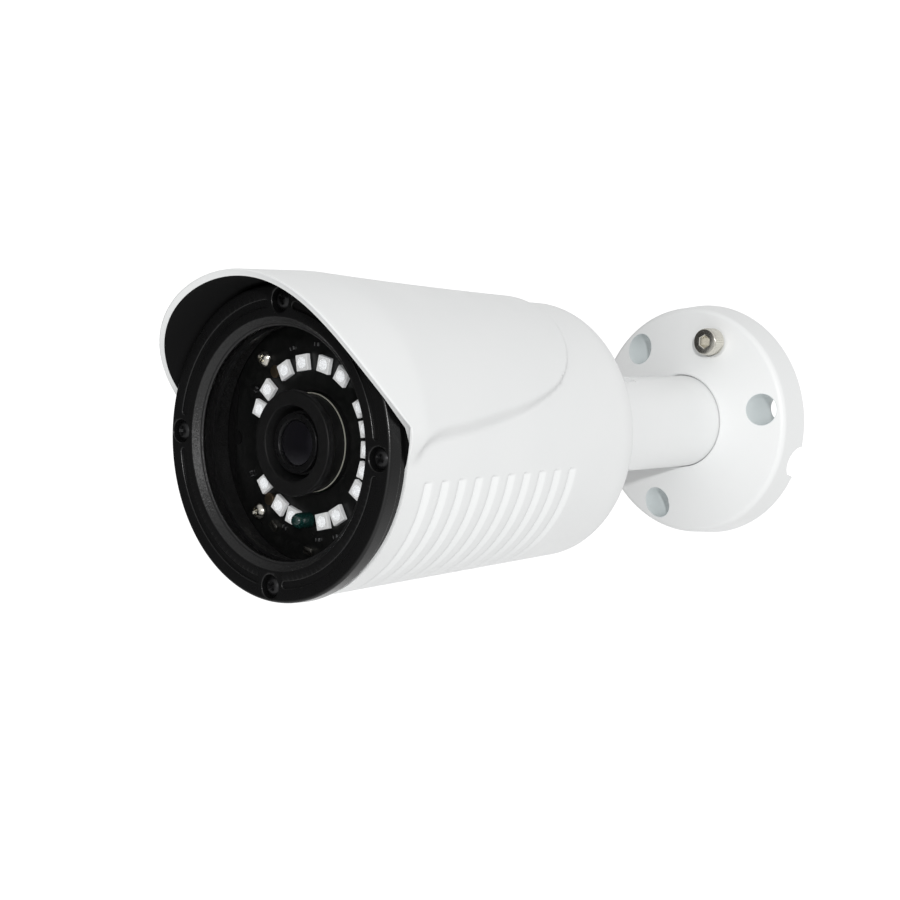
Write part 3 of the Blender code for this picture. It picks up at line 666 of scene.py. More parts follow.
def housing_rows():
    """Rows of points from the rim over the skin to the rear wall, and back inside to the rim."""
    angles = column_angles()
    edge = front_edge(angles)
    rows = []

    def add(radius, y):
        radius, y = np.broadcast_to(radius, angles.shape), np.broadcast_to(y, angles.shape)
        turn = np.radians(angles)
        rows.append(list(zip(radius * np.cos(turn), y, radius * np.sin(turn))))

    rim = rim_radius(angles)
    skin_front = skin_radius(edge, angles)
    add(rim, edge + 0.08)
    add(rim + 0.1, edge)
    add(skin_front - 0.18, edge)
    add(skin_front - 0.05, edge + 0.06)
    start = step_walls()[0] + STEP_ROWS[0]
    for t in (0.015, 0.06, 0.14, 0.24, 0.34, 0.44, 0.54, 0.64, 0.73, 0.82, 0.91):
        y = edge + (start - edge) * t
        add(skin_radius(y, angles), y)
    flat = []
    for wall in step_walls():
        flat += [wall + offset for offset in STEP_ROWS]
    flat += list(np.arange(flat[-1] + 0.6, 72.4, 0.4)) + [74, 77, 80, BODY_LENGTH - 0.9]
    for y in flat:
        add(skin_radius(np.full_like(angles, y), angles), y)
    rear = body_radius(BODY_LENGTH)
    for turn in (15, 30, 45, 60, 75, 90):
        out, back = math.cos(math.radians(turn)), math.sin(math.radians(turn))
        add(rear - 0.9 + 0.9 * out, BODY_LENGTH - 0.9 + 0.9 * back)
    inside = [(20, BODY_LENGTH), (6.2, BODY_LENGTH), (6.2, 80), (27.2, 80), (28.2, 18.8), (25.0, 15.2),
              (25.0, 12.8), (27.2, 12.8), (27.2, 6.8), (31.5, 6.8), (31.5, RING_BACK + 0.05)]
    for radius, y in inside:
        add(radius, y)
    inner = np.minimum(33.7, rim - 0.12)
    add(inner, RING_BACK + 0.03)
    chamfer_y = np.minimum(edge + 0.45, RING_BACK + 0.02)
    chamfer_r = np.minimum(rim - 0.1, inner + 1.05 * np.clip((RING_BACK - edge) / 8, 0, 1))
    for t in (0.33, 0.66, 1.0):
        add(inner + (chamfer_r - inner) * t, RING_BACK + 0.025 + (chamfer_y - RING_BACK - 0.02) * t)
    return rows


bm = bmesh.new()
rows = housing_rows()
last_row = len(rows) - 1
add_rows(bm, rows, inner_rows=set(range(last_row - INSIDE_ROWS, last_row)))
housing = solid("housing", bm, housing_paint, FACE_Y, sharp=42)


def housing_holes(bm):
    add_prism(bm, polygon(4.9, 48, (0, -19.0)), 78, 86)
    for k in range(4):
        add_prism(bm, polygon(1.4, 24, on_circle(30.0, 90 * k)), 6, 15)


combine(housing, "DIFFERENCE", housing_holes, FACE_Y)
deliver(housing, "camera", "white_paint", "housing")

# %% [markdown]
# ## The front ring
#
# The ring is turned from a casting: a flat face, a grained cone that leads the eye to the window, a thin lip
# that holds the glass, and a side in two bands. Four counterbores take the screws. Between them run shallow
# arc grooves with round ends. The counterbores and grooves are cut with one tool, whose shapes widen at the
# top, so that each opening has a small bright chamfer.

# %% The front ring
SCREW_R = 30.0
ring_outline = [(25.9, 2.2), (24.7, 2.2), (24.7, 1.75, 0.1), (25.05, 1.5, 0.15), (25.3, 1.5, 0.1),
                (26.55, 0.0, 0.25), (BEZEL_R - 0.1, 0.0, 0.7), (BEZEL_R, 3.3, 0.25), (32.1, 3.45, 0.15),
                (32.1, 5.6, 0.2), (26.9, 5.6), (26.9, 10.0, 0.2), (25.9, 10.0, 0.2)]
front_ring = turned_piece("front_bezel", ring_outline, black_paint, FACE_Y, 240)


def arc_slot(inner, outer, start, end, steps=24):
    """A slot along an arc with round ends, as an (x, z) outline."""
    middle, half = (inner + outer) / 2, (outer - inner) / 2
    points = [on_circle(outer, start + (end - start) * k / steps) for k in range(steps + 1)]
    for tip, sign in ((end, 1), (start, -1)):
        x, z = on_circle(middle, tip)
        turn = tip if sign == 1 else tip + 180
        points += [(x + dx, z + dz) for dx, dz in (on_circle(half, turn + 180 * k / 8) for k in range(1, 8))]
        if sign == 1:
            points += [on_circle(inner, end + (start - end) * k / steps) for k in range(steps + 1)]
    return points


def add_tapered(bm, wide, narrow, top, depth, chamfer):
    """A cutter with a wide outline at the face, and a narrow one below its chamfer."""
    rows = [[(x, top - 1, z) for x, z in wide], [(x, top, z) for x, z in wide],
            [(x, top + chamfer, z) for x, z in narrow], [(x, top + depth, z) for x, z in narrow]]
    add_rows(bm, rows, close_rows=False)
    bm.verts.ensure_lookup_table()
    count = len(wide)
    bm.faces.new(bm.verts[-count:])
    bm.faces.new(bm.verts[-4 * count:-3 * count])


def ring_cuts(bm):
    for k in range(4):
        centre = on_circle(SCREW_R, 90 * k)
        add_tapered(bm, polygon(2.75, 40, centre), polygon(2.5, 40, centre), 0, 1.9, 0.22)
    for k in range(4):
        start, end = 90 * k + 8.5, 90 * k + 81.5
        add_tapered(bm, arc_slot(28.45, 30.35, start, end), arc_slot(28.65, 30.15, start, end), 0, 0.5, 0.18)


combine(front_ring, "DIFFERENCE", ring_cuts, FACE_Y)
even_normals(front_ring)
deliver(front_ring, "camera", "black_paint", "front_bezel")

# %% [markdown]
# ## Screws, emitters and other repeated parts
#
# One part that repeats is drawn once, at the origin, and a Geometry Nodes tree sets it on points. The points
# carry a number that says how far each copy turns about the y axis. The tree ends by making the copies real
# and giving them their finish, and the result is kept as a plain mesh.

# %% A tree that sets copies on points


def copies_tree():
    tree = bpy.data.node_groups.new("copies_on_points", "GeometryNodeTree")
    sockets = {}
    for name, kind in (("Points", "NodeSocketGeometry"), ("Part", "NodeSocketObject"),
                       ("Finish", "NodeSocketMaterial"), ("Size", "NodeSocketFloat")):
        sockets[name] = tree.interface.new_socket(name, in_out="INPUT", socket_type=kind).identifier
    tree.interface.new_socket("Copies", in_out="OUTPUT", socket_type="NodeSocketGeometry")
    new, link = tree.nodes.new, tree.links.new
    given, result = new("NodeGroupInput"), new("NodeGroupOutput")
    part, turn = new("GeometryNodeObjectInfo"), new("GeometryNodeInputNamedAttribute")
    turn.data_type = "FLOAT"
    turn.inputs["Name"].default_value = "turn"
    rotation = new("ShaderNodeCombineXYZ")
    place, real, paint = (new("GeometryNodeInstanceOnPoints"), new("GeometryNodeRealizeInstances"),
                          new("GeometryNodeSetMaterial"))
    link(given.outputs["Part"], part.inputs["Object"])
    link(turn.outputs["Attribute"], rotation.inputs["Y"])
    link(given.outputs["Points"], place.inputs["Points"])
    link(part.outputs["Geometry"], place.inputs["Instance"])
    link(rotation.outputs["Vector"], place.inputs["Rotation"])
    link(given.outputs["Size"], place.inputs["Scale"])
    link(place.outputs["Instances"], real.inputs["Geometry"])
    link(real.outputs["Geometry"], paint.inputs["Geometry"])
    link(given.outputs["Finish"], paint.inputs["Material"])
    link(paint.outputs["Geometry"], result.inputs["Copies"])
    return tree, sockets


copies, copies_sockets = copies_tree()
print("the tree takes", ", ".join(copies_sockets))


def set_copies(name, part, finish, places, y, size=1.0):
    """Copies of part at places (x, z, degrees of turn), at one y, as one plain mesh."""
    mesh = bpy.data.meshes.new(name)
    mesh.from_pydata([(x * MM, y * MM, z * MM) for x, z, _ in places], [], [])
    turns = mesh.attributes.new("turn", "FLOAT", "POINT")
    turns.data.foreach_set("value", [math.radians(degrees) for _, _, degrees in places])
    piece = bpy.data.objects.new(name, mesh)
    bpy.context.scene.collection.objects.link(piece)
    modifier = piece.modifiers.new("copies", "NODES")
    modifier.node_group = copies
    modifier[copies_sockets["Part"]] = part
    modifier[copies_sockets["Finish"]] = finish.material
    modifier[copies_sockets["Size"]] = size
    apply_modifiers(piece)
    bpy.data.objects.remove(part)
    print(f"{name}: {len(places)} copies")
    return piece


# %% [markdown]
# A cross-recess screw has a domed head with four tapering slots that meet in the middle. The recess is cut
# with two crossed wedges. The front ring's screws are blackened, and the board's are nickel plated.

# %% Cross-recess screws


def cross_screw(head_r, head_height, shank_r, length, steps=40):
    """Drawn with its head's underside at y = 0 and its shank towards +y."""
    outline = [(0, -head_height), (head_r * 0.55, -head_height * 0.94, 0.4),
               (head_r, -head_height * 0.35, 0.4), (head_r, 0, 0.1), (shank_r, 0),
               (shank_r, length - 0.5, 0.2), (0, length)]
    slot, deep, reach = head_r * 0.15, head_height * 0.75, head_r * 0.62
    tip = reach * 0.45
    top = [(-reach, -slot), (reach, -slot), (reach, slot), (-reach, slot)]
    low = [(-tip, -slot), (tip, -slot), (tip, slot), (-tip, slot)]
    bm = bmesh.new()
    add_turned(bm, outline, steps)
    screw = solid("screw_pattern", bm, nickel)
    for turn in (0, math.pi / 2):
        def wedge(bm, turn=turn):
            add_tapered(bm, top, low, -head_height - 0.1, deep, deep - 0.05)
            bmesh.ops.rotate(bm, verts=bm.verts, cent=(0, 0, 0), matrix=Matrix.Rotation(turn, 3, "Y"))
        combine(screw, "DIFFERENCE", wedge)
    return screw


ring_places = [(*on_circle(SCREW_R, 90 * k), 20 + 37 * k) for k in range(4)]
ring_screws = set_copies("bezel_screws", cross_screw(2.1, 1.3, 1.1, 12), blackened, ring_places,
                         FACE_Y + 1.6)
deliver(ring_screws, "camera", "black_screw", *[f"bezel_screw_{k}" for k in range(1, 5)])

board_places = []
for k in range(1, 4):
    low, high = corner_mm(f"led_board_screw_{k}", 0), corner_mm(f"led_board_screw_{k}", 1)
    board_places.append(((low.x + high.x) / 2, (low.z + high.z) / 2, 31 * k))
board_screws = set_copies("led_board_screws", cross_screw(1.9, 1.3, 1.0, 6, 32), nickel, board_places,
                          FACE_Y + BOARD_Y - GAP)
deliver(board_screws, "camera", "bright_screw", *[f"led_board_screw_{k}" for k in range(1, 4)])

# %% [markdown]
# Each infrared emitter is a square white ceramic package. A cup in its top holds the die, and a clear dome
# sits over the cup. The package and the dome are two finishes, so they are two sets of copies. Both finishes
# glow faintly, which is painted light: the emitters are not lit.

# %% Infrared emitters
emitter_nodes = [name for name in sorted(nodes) if name.startswith("ir_led_")]
emitter_places = []
for name in emitter_nodes:
    centre = (corner_mm(name, 0) + corner_mm(name, 1)) / 2
    angle = math.degrees(math.atan2(centre.z, centre.x))
    emitter_places.append((centre.x, centre.z, 90 - angle))
EMITTER_HALF, EMITTER_HEIGHT = 1.75, 1.1


def emitter_body():
    bm = bmesh.new()
    half = EMITTER_HALF
    rows = []
    profile = [(half - 0.05, 0), (half, -0.1), (half, 0.12 - EMITTER_HEIGHT), (half - 0.08, -EMITTER_HEIGHT)]
    for size, y in profile:
        rows.append([(x, y, z) for x, z in ((-size, -size), (size, -size), (size, size), (-size, size))])
    add_rows(bm, rows, close_rows=False)
    bm.verts.ensure_lookup_table()
    bm.faces.new(bm.verts[:4])
    bm.faces.new(bm.verts[-4:])
    body = solid("emitter_pattern", bm, ceramic_with_painted_glow)
    bevel = body.modifiers.new("edges", "BEVEL")
    bevel.width, bevel.segments, bevel.limit_method = 0.12 * MM, 2, "ANGLE"
    bake_modifiers(body)

    def cup(bm):
        add_tapered(bm, polygon(1.25, 24), polygon(0.9, 24), -EMITTER_HEIGHT - 0.01, 0.45, 0.4)

    return combine(body, "DIFFERENCE", cup)


def emitter_dome():
    bm = bmesh.new()
    top = 0.02 - EMITTER_HEIGHT
    arc = [math.radians(degrees) for degrees in range(0, 90, 15)]
    dome = [(1.1 * math.cos(a), top - 0.35 * math.sin(a)) for a in arc]
    add_turned(bm, [(0, top + 0.25), (0.95, top + 0.25)] + dome + [(0, top - 0.35)], 24)
    return solid("dome_pattern", bm, dome_glass_with_painted_glow)


emitter_back = FACE_Y + BOARD_Y - GAP
bodies = set_copies("ir_emitters", emitter_body(), ceramic_with_painted_glow, emitter_places, emitter_back)
deliver(even_normals(bodies), "camera", "led_white", *emitter_nodes)
domes = set_copies("ir_emitter_domes", emitter_dome(), dome_glass_with_painted_glow, emitter_places, emitter_back)
deliver(domes, "camera", "window_glass")

# %% [markdown]
# ## The ring board
#
# The board is a turned ring with both sides cut off straight, screw holes and a locating notch. On it lie
# the parts that a real board needs: two bronze test pads, small chip resistors beside the emitters, two
# bright crystal cans, and the light sensor, a green capsule that looks forward between the lowest emitters.

# %% The ring board and its small parts
board = turned_piece("led_board", [(10.9, BOARD_Y), (26.8, BOARD_Y), (26.8, BOARD_Y + 1.2),
                                   (10.9, BOARD_Y + 1.2)], black_board, FACE_Y, 160)
FLAT_X = corner_mm("led_board", 1).x


def board_flats(bm):
    add_block(bm, (FLAT_X, 5, -20), (40, 15, 20))
    add_block(bm, (-40, 5, -20), (-FLAT_X, 15, 20))


def board_holes(bm):
    for x, z, _ in board_places:
        add_prism(bm, polygon(1.4, 24, (x, z)), 5, 15)
    add_prism(bm, polygon(1.6, 32, (-FLAT_X, -1.4)), 5, 15)


combine(board, "DIFFERENCE", board_flats, FACE_Y)
combine(board, "DIFFERENCE", board_holes, FACE_Y)
deliver(board, "camera", "black_board", "led_board")

# A thin pale ring lies at the foot of the lens shield, inside the board's hole.
foot_outline = [(10.42, 10.15), (10.62, 10.15), (10.62, 10.35), (10.42, 10.35)]
foot_ring = turned_piece("shield_foot_ring", foot_outline, pale_ring_finish, FACE_Y, 128)
deliver(foot_ring, "camera", "black_board")


def small_block(width, depth, height):
    bm = bmesh.new()
    add_block(bm, (-width / 2, -height, -depth / 2), (width / 2, 0, depth / 2))
    block = solid("block_pattern", bm, nickel)
    bevel = block.modifiers.new("edges", "BEVEL")
    bevel.width, bevel.segments = 0.07 * MM, 2
    return bake_modifiers(block)


def pad_disc(radius, height):
    bm = bmesh.new()
    add_turned(bm, [(0, 0), (radius, 0), (radius, -height, 0.08), (0, -height)], 32)
    return solid("disc_pattern", bm, bronze)


on_board = FACE_Y + BOARD_Y - 0.01
resistor_angles = [53, 69, 90, 111, 152, 205, 248, 277, 292, 308, 327]
resistors = [(*on_circle(20.8, a), 90 - a) for a in resistor_angles]
terminals = [(*on_circle(20.8, a + turn), 90 - a) for a in resistor_angles for turn in (-1.35, 1.35)]
deliver(set_copies("chip_resistors", small_block(0.8, 0.75, 0.42), black_plastic, resistors, on_board),
        "camera", "lens_black")
deliver(set_copies("chip_terminals", small_block(0.22, 0.78, 0.44), zinc, terminals, on_board),
        "camera", "zinc_steel")
pads = [(*on_circle(18.8, 131.4), 0), (*on_circle(18.8, 226.7), 0)]
deliver(set_copies("bronze_pads", pad_disc(1.35, 0.5), bronze, pads, on_board), "camera", "brass_post")
cans = [(0.1, -23.3, 8), (-10.9, -19.3, 35)]
deliver(set_copies("crystal_cans", small_block(2.4, 1.5, 0.9), nickel, cans, on_board),
        "camera", "bright_screw")

sensor_low, sensor_high = corner_mm("light_sensor", 0), corner_mm("light_sensor", 1)
sensor_place = ((sensor_low.x + sensor_high.x) / 2, (sensor_low.z + sensor_high.z) / 2)
sensor_front = sensor_low.y - FACE_Y
SENSOR_R = 1.7
sensor_arc = [math.radians(degrees) for degrees in range(10, 91, 10)]
sensor_tip = [(SENSOR_R * math.sin(a), sensor_front + SENSOR_R * (1 - math.cos(a))) for a in sensor_arc]
sensor_foot = [(SENSOR_R, BOARD_Y - GAP), (0, BOARD_Y - GAP)]
sensor = turned_piece("light_sensor", [(0, sensor_front)] + sensor_tip + sensor_foot, sensor_resin, FACE_Y,
                      48, sensor_place)
deliver(sensor, "camera", "sensor_green", "light_sensor")

# %% [markdown]
# ## The lens
#
# A rubber shield stops the emitters' light from reaching the lens inside the window. It presses on the glass
# with a grained rim. Inside it stand the lens barrel, its retaining ring and the front element, whose
# coating has a faint cold tint. The ring steps down to the element, which gives the eye a lens's depth.

# %% The lens and its shield
shield = [(8.1, 4.7, 0.25), (11.2, 4.7, 0.45), (11.2, 6.4, 0.3), (10.4, 7.4, 0.3), (10.3, 10.0),
          (10.3, 12.6), (7.7, 12.6), (7.7, 6.4, 0.3)]
deliver(turned_piece("lens_shield", shield, rubber, FACE_Y, 144), "camera", "black_rubber", "lens_shield")
barrel = [(4.0, 9.4), (4.0, 7.4), (6.8, 7.4, 0.2), (6.8, 9.6, 0.2), (6.0, 10), (6.0, 22), (3.2, 22),
          (3.2, 9.4)]
deliver(turned_piece("lens_barrel", barrel, black_plastic, FACE_Y, 96), "camera", "lens_black",
        "lens_barrel")
retainer = [(4.75, 7.1), (4.85, 6.3, 0.12), (5.15, 5.8, 0.12), (6.4, 5.8, 0.2), (6.4, 7.1)]
deliver(turned_piece("lens_retaining_ring", retainer, blackened, FACE_Y, 96), "camera", "lens_black",
        "lens_retaining_ring")
glass_front = [(4.65 * k / 12, 5.75 + 0.6 * (k / 12) ** 2) for k in range(13)]
deliver(turned_piece("lens_front_element", glass_front + [(4.65, 7.1), (0, 7.1)], lens_glass, FACE_Y, 96),
        "camera", "lens_glass", "lens_front_element")

# %% [markdown]
# The window is one flat sheet with a slightly broken edge. A turned disc is enough, because its finish does
# the work. It sits just behind the front ring's lip, where the CAD has it.

# %% The window
WINDOW_Y0, WINDOW_Y1 = (corner_mm("front_glass", side).y - FACE_Y for side in (0, 1))
window = [(0, WINDOW_Y0), (25.6, WINDOW_Y0, 0.3), (25.6, WINDOW_Y1, 0.3), (0, WINDOW_Y1)]
deliver(turned_piece("front_glass", window, window_glass, FACE_Y, 144), "camera", "window_glass",
        "front_glass")

# %% [markdown]
# ## The knuckle
#
# The stub's flange sits on the housing's rear wall over an O-ring, and its tongue turns in the arm's fork.
# Both are castings with the same white coat. They are built from turned and extruded shapes joined by
# Booleans, and a narrow bevel softens the edges that the joins leave.

# %% Stub, seal and grommet
REAR = FACE_Y + BODY_LENGTH


def soften(piece, width, sharp=35.0):
    bevel = piece.modifiers.new("edges", "BEVEL")
    bevel.width, bevel.segments, bevel.limit_method = width * MM, 2, "ANGLE"
    bevel.angle_limit = math.radians(38)
    bake_modifiers(piece, sharp)
    return even_normals(piece)


flange = [(0, -11.7), (5.4, -11.7, 0.3), (5.9, -11.1), (5.9, GAP), (7.4, GAP), (7.4, 1.8), (9.6, 1.8),
          (9.6, GAP), (11, GAP, 0.15), (11, 2.7, 0.3), (10.4, 3.3, 0.4), (0, 3.3)]
bm = bmesh.new()
add_turned(bm, flange, 128)
stub = solid("swivel_stub", bm, white_paint, REAR)
HINGE = HINGE_Y - REAR
TONGUE_R, TONGUE_HALF, NECK_HALF = 10.4, 4.0, 8.6


def stub_tongue(bm):
    """Seen from the side: a neck that widens into a round tongue, 8 mm thick."""
    outline = [(2.5, -NECK_HALF), (HINGE - 4, -NECK_HALF)]
    lean = math.degrees(math.asin(NECK_HALF / TONGUE_R))
    outline += [(HINGE + a, b) for a, b in (on_circle(TONGUE_R, -180 + lean + (360 - 2 * lean) * k / 48)
                                            for k in range(49))]
    outline += [(HINGE - 4, NECK_HALF), (2.5, NECK_HALF)]
    ends = [[bm.verts.new((x, y, z)) for y, z in outline] for x in (-TONGUE_HALF, TONGUE_HALF)]
    for k in range(len(outline)):
        after = (k + 1) % len(outline)
        bm.faces.new((ends[0][k], ends[0][after], ends[1][after], ends[1][k]))
    bm.faces.new(ends[0])
    bm.faces.new(ends[1])


def cross_bar(radius, x0, x1, y, sides=48):
    """A builder for a bar along X, for combine()."""
    def build(bm):
        add_prism(bm, polygon(radius, sides), x0, x1)
        lay_across(bm)
        bmesh.ops.translate(bm, verts=bm.verts, vec=(0, y, 0))
    return build


combine(stub, "UNION", stub_tongue, REAR)
combine(stub, "DIFFERENCE", cross_bar(2.35, -6, 6, HINGE), REAR)
deliver(soften(stub, 0.35), "tilt", "white_paint", "swivel_stub")

SEAL_R, SEAL_Y, CORD_R = 8.5, 1.05, 0.7
seal = [(SEAL_R + x, SEAL_Y + z) for x, z in polygon(CORD_R, 12)]
deliver(turned_piece("stub_seal", seal, rubber, REAR, 96), "camera", "black_rubber", "stub_seal")
gland = [(1.9, -5.5), (5.9, -5.5), (5.9, -4.3), (4.6, -4.3), (4.6, GAP), (6.4, GAP, 0.2), (6.0, 1.8, 0.5),
         (4.2, 2.4, 0.3), (3.4, 4.5, 0.3), (1.9, 4.5, 0.2)]
deliver(turned_piece("cable_grommet", gland, rubber, REAR, 64, (0, -19.0)), "camera", "black_rubber",
        "cable_grommet")

# %% [markdown]
# The arm is a round bar with a domed end that is slotted into a fork. Its rear flange turns inside the base.
# A hexagon-socket screw crosses the fork from one side and is threaded into the far tine, so the other side
# of the arm is plain.

# %% Arm and tilt screw
ARM_R = 11.9
arm_dome = [(x, HINGE_Y + z) for x, z in (on_circle(ARM_R, degrees) for degrees in range(-90, 0, 5))]
arm_outline = arm_dome + [(ARM_R, HINGE_Y), (ARM_R, -30), (ARM_R, -7.4), (16.4, -7.4), (16.4, -4.9),
                          (0, -4.9)]
bm = bmesh.new()
add_turned(bm, arm_outline, 144)
arm = solid("arm", bm, white_paint)


def fork_slot(bm):
    add_block(bm, (-4.35, HINGE_Y - 20, -20), (4.35, HINGE_Y + 11.0, 20))


combine(arm, "DIFFERENCE", fork_slot)
combine(arm, "DIFFERENCE", cross_bar(2.35, -20, 9.5, HINGE_Y))
combine(arm, "DIFFERENCE", cross_bar(4.0, -20, -8.0, HINGE_Y))
deliver(soften(arm, 0.3), "arm", "white_paint", "arm")


def socket_screw(name, head_r, head_length, shank_r, length, key_r):
    """A hexagon-socket screw along Y: its head's underside at 0, its head towards -y."""
    bm = bmesh.new()
    outline = [(0, -head_length), (head_r, -head_length, 0.45), (head_r, 0, 0.15), (shank_r, 0),
               (shank_r, length, 0.3), (0, length)]
    add_turned(bm, outline, 72)
    screw = solid(name, bm, nickel)

    def key(bm):
        add_tapered(bm, polygon(key_r + 0.18, 6, turn=30), polygon(key_r, 6, turn=30), -head_length,
                    head_length * 0.6, 0.18)

    return combine(screw, "DIFFERENCE", key)


def shift(piece, matrix):
    piece.data.transform(matrix)
    return piece


tilt_screw = socket_screw("tilt_screw", 3.5, 3.4, 2.0, 17.3, 1.7)
across = Matrix.Translation((-8.3 * MM, HINGE_Y * MM, 0)) @ Matrix.Rotation(-math.pi / 2, 4, "Z")
deliver(even_normals(shift(tilt_screw, across)), "arm", "bright_screw", "tilt_screw")

# %% [markdown]
# ## The wall base
#
# The base is a shallow cap with a domed face and a wide soft edge. The arm leaves it through a close hole.
# Three screw holes run through bosses behind the face. A half-round notch in its rear edge lets a cable out
# sideways. The dome is one turned outline, and the holes are cut with tapered tools, as on the front ring.

# %% The wall base
HOLE_ANGLES = [11.8, 131.8, 251.8]
HOLE_CIRCLE, HOLE_R = 23.9, 4.1
LOCK = on_circle(22.6, 70.0)
PLATE_SCREWS = [on_circle(21.0, angle) for angle in (190.0, 310.0)]


def dome_y(radius):
    return -12.55 + 0.0047 * radius**2


face = [(radius, dome_y(radius)) for radius in (12.9, 15, 17, 19, 21, 23, 25, 27)]
base_outline = ([(12.05, -8.6), (12.05, dome_y(12.6) + 0.5), (12.12, dome_y(12.6) + 0.2, 0.15),
                 (12.6, dome_y(12.6), 0.3)] + face
                + [(28.9, dome_y(28.9), 1.8), (29.6, -7.7, 1.0), (BASE_R, 0, 0.15), (27.6, 0, 0.15),
                   (27.6, -7.0), (17.0, -7.0), (17.0, -8.6)])
bm = bmesh.new()
add_turned(bm, base_outline, 180)
hole_places = [on_circle(HOLE_CIRCLE, angle) for angle in HOLE_ANGLES]
base = solid("wall_base", bm, base_coat(hole_places, HOLE_R + 0.02))


def bosses(bm):
    for angle in HOLE_ANGLES:
        add_prism(bm, polygon(5.9, 48, on_circle(HOLE_CIRCLE - 0.4, angle)), -7.8, -0.02)
    for place in PLATE_SCREWS:
        add_prism(bm, polygon(3.4, 32, place), -7.8, -4.9)


def base_holes(bm):
    for angle in HOLE_ANGLES:
        centre = on_circle(HOLE_CIRCLE, angle)
        wide, narrow = polygon(HOLE_R, 64, centre), polygon(HOLE_R - 0.7, 64, centre)
        add_tapered(bm, wide, narrow, dome_y(HOLE_CIRCLE) - 1, 12.5, 11)
    add_prism(bm, polygon(4.1, 48, LOCK), -20, -9.95)


def small_holes(bm):
    add_prism(bm, polygon(2.35, 32, LOCK), -20, 5)
    for place in PLATE_SCREWS:
        add_prism(bm, polygon(1.8, 24, place), -9.2, 0)


def cable_notch(bm):
    add_prism(bm, polygon(4.2, 64), 24, 36)
    lay_across(bm)
    bmesh.ops.rotate(bm, verts=bm.verts, cent=(0, 0, 0), matrix=Matrix.Rotation(math.radians(16.5), 3, "Y"))


combine(base, "UNION", bosses)
for cut in (base_holes, small_holes, cable_notch):
    combine(base, "DIFFERENCE", cut)
deliver(even_normals(base), "base", "white_paint", "wall_base")

# %% [markdown]
# The lock screw is an ordinary hexagon-socket cap screw, and its head's side is knurled for the fingers. The
# knurl is a ridge drawn once and set round the head by the same tree that sets the emitters.

# %% The lock screw and the clamp
lock_low, lock_high = corner_mm("arm_lock_screw", 0), corner_mm("arm_lock_screw", 1)
HEAD_LENGTH = 4.0
LOCK_HEAD_R = 3.42
lock_length = lock_high.y - lock_low.y - HEAD_LENGTH
lock_screw = socket_screw("arm_lock_screw", LOCK_HEAD_R, HEAD_LENGTH, 2.0, lock_length, 1.75)
lock_move = Matrix.Translation((LOCK[0] * MM, (lock_low.y + HEAD_LENGTH) * MM, LOCK[1] * MM))
deliver(even_normals(shift(lock_screw, lock_move)), "base", "bright_screw", "arm_lock_screw")


def knurl_ridge():
    bm = bmesh.new()
    add_prism(bm, [(-0.06, 0.11), (0.08, 0.0), (-0.06, -0.11)], -HEAD_LENGTH + 0.6, -0.25)
    return solid("ridge_pattern", bm, nickel)


ridges = [(*polygon(LOCK_HEAD_R, 36, LOCK)[k], -10.0 * k) for k in range(36)]
deliver(set_copies("lock_screw_knurl", knurl_ridge(), nickel, ridges, lock_low.y + HEAD_LENGTH), "base",
        "bright_screw")

plate_screw = shift(cross_screw(2.9, 1.5, 1.5, 6.5, 32), Matrix.Rotation(math.pi, 4, "Z"))
plate_screws = set_copies("plate_screws", plate_screw, zinc, [(*place, 15) for place in PLATE_SCREWS], -2.3)
deliver(plate_screws, "base", "zinc_steel", "plate_screw_1", "plate_screw_2")

# %% [markdown]
# ## Parts that keep their CAD mesh
#
# Seals, boards and fasteners inside the housing already have their right shape. Each gets its finish.

# %% Finishes on CAD parts
kept = {
    rubber: ["bezel_gasket", "glass_gasket"],
    brass: ["board_standoff_1", "board_standoff_2", "board_standoff_3"],
    black_plastic: ["lens_holder", "processor", "board_header"],
    filter_glass: ["ir_cut_filter"],
    chip_glass: ["image_sensor"],
    green_board: ["main_board", "power_board"],
    zinc: ["clamp_plate", "stub_washer", "stub_nut"],
    fibre: ["friction_washer"],
}
for finish, names in kept.items():
    for name in names:
        nodes[name].data.materials.clear()
        nodes[name].data.materials.append(finish.material)
print("kept CAD parts:", sum(len(names) for names in kept.values()))

# %% [markdown]
# ## Floor, light and camera
#
# The object hangs on a wall, so the floor lies far below it and only rounds off the picture.

# %% Floor
FLOOR_Z = -1.0
floor_finish = Finish("pale_floor", (0.95, 0.95, 0.95), 0.7)
floor_finish.colour(floor_finish.mix(floor_finish.noise(180.0), (0.94, 0.94, 0.94), (0.96, 0.96, 0.96)))
floor_mesh = bpy.data.meshes.new("floor")
FLOOR_REACH = 0.6
corners = [(x * FLOOR_REACH, y * FLOOR_REACH, FLOOR_Z) for x, y in ((-1, -1), (1, -1), (1, 1), (-1, 1))]
floor_mesh.from_pydata(corners, [], [(0, 1, 2, 3)])
floor_mesh.materials.append(floor_finish.material)
floor = bpy.data.objects.new("floor", floor_mesh)
bpy.context.scene.collection.objects.link(floor)
print(f"floor {-FLOOR_Z} m below the arm's axis")

# %% [markdown]
# A white tent gives soft light from all sides. It is a little stronger from above, from below and from the
# front right, and dark towards the front left, because that side is what the black front mirrors. Where the
# camera looks, the tent is bright enough to be pure white. The tent is the world's shader: each patch of it
# is a smooth step of how well a direction agrees with the patch's own.

# %% Surround


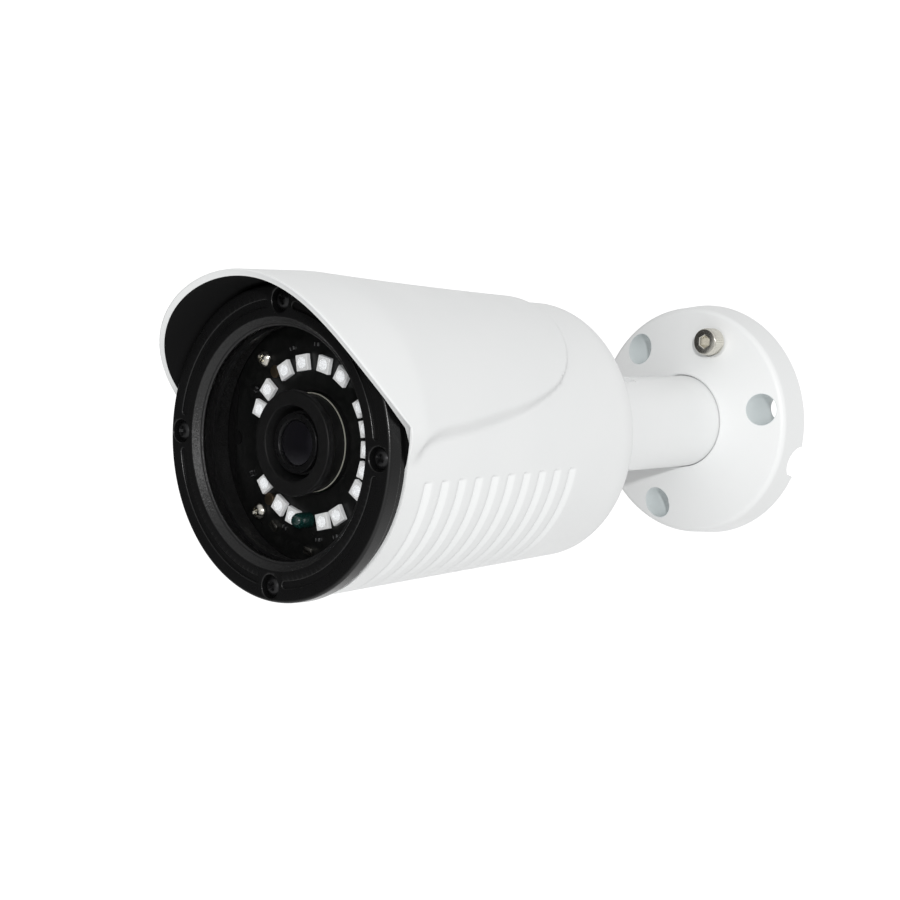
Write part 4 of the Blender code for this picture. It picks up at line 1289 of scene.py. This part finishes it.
def surround(sides, dim, dim_side, backdrop, view, patches):
    """A light tent: dim towards dim_side, and brightest in a patch round the direction of view."""
    world = bpy.data.worlds.new("surround")
    bpy.context.scene.world = world
    world.use_nodes = True
    tree = world.node_tree
    new, link = tree.nodes.new, tree.links.new
    place = new("ShaderNodeTexCoord")

    def facing(direction, low, high, to_low, to_high):
        dot, fall = new("ShaderNodeVectorMath"), new("ShaderNodeMapRange")
        dot.operation = "DOT_PRODUCT"
        dot.inputs[1].default_value = Vector(direction).normalized()
        link(place.outputs["Generated"], dot.inputs[0])
        fall.interpolation_type = "SMOOTHSTEP"
        limits = {"From Min": low, "From Max": high, "To Min": to_low, "To Max": to_high}
        for socket, number in limits.items():
            fall.inputs[socket].default_value = number
        link(dot.outputs["Value"], fall.inputs["Value"])
        return fall.outputs["Result"]

    total = new("ShaderNodeMath")
    link(facing(dim_side, 0.3, 0.85, sides, dim), total.inputs[0])
    link(facing(view, 0.72, 0.90, 0.0, backdrop - sides), total.inputs[1])
    for patch in patches:
        more = new("ShaderNodeMath")
        link(total.outputs["Value"], more.inputs[0])
        link(facing(*patch), more.inputs[1])
        total = more
    light = tree.nodes["Background"]
    light.inputs["Color"].default_value = (1, 1, 1, 1)
    link(total.outputs["Value"], light.inputs["Strength"])


VIEW = (-0.664, 0.741, -0.101)
# Each patch: its direction, where it begins and is full, and its strength there.
PATCHES = [((0, 0, 1), 0.15, 0.85, 0.0, 0.26), ((0, 0, -1), 0.15, 0.85, 0.0, 0.62),
           ((0.45, -0.89, 0), 0.55, 0.95, 0.0, 0.36)]
surround(sides=0.475, dim=0.05, dim_side=(-0.75, -0.62, -0.15), backdrop=1.12, view=VIEW, patches=PATCHES)
print("tent patches:", len(PATCHES))

# %% [markdown]
# One small lamp at the front right adds the single clear shadow, which falls under the arm on the base.

# %% Lamps


def lamp(name, place, target, size, power):
    light = bpy.data.lights.new(name, "AREA")
    light.shape, light.size, light.energy = "DISK", size, power
    holder = bpy.data.objects.new(name, light)
    aim = Vector(target) - Vector(place)
    holder.matrix_world = (Matrix.Translation(place) @ aim.to_track_quat("-Z", "Y").to_matrix().to_4x4())
    bpy.context.scene.collection.objects.link(holder)
    print(f"{name} lamp, {power} W")


lamp("key", place=(0.88, -1.03, 0.30), target=(0, -0.08, 0), size=0.06, power=8.4)

# %% [markdown]
# The camera stands to the front right, a little above the object, and half a metre away. Its place and its
# turn are given by a point and by the directions of its right and its up.

# %% Camera
FOCAL_LENGTH, SENSOR_WIDTH = 77.949, 36.0
STAND_POINT = (0.296117, -0.432775, 0.041238)
right = Vector((0.74115, 0.66988, 0.04423))
up = Vector((-0.10022, 0.04525, 0.99394))
scene = bpy.context.scene
camera = bpy.data.objects.new("camera", bpy.data.cameras.new("camera"))
camera.data.lens = FOCAL_LENGTH
camera.data.sensor_width = SENSOR_WIDTH
camera.data.clip_start = 0.01
turn = Matrix((right, up, right.cross(up))).transposed().to_4x4()
camera.matrix_world = Matrix.Translation(STAND_POINT) @ turn
scene.collection.objects.link(camera)
scene.camera = camera
scene.view_settings.view_transform = "Standard"
print("camera at", tuple(round(v, 3) for v in camera.location))

# %% [markdown]

# %% End
print("scene built")
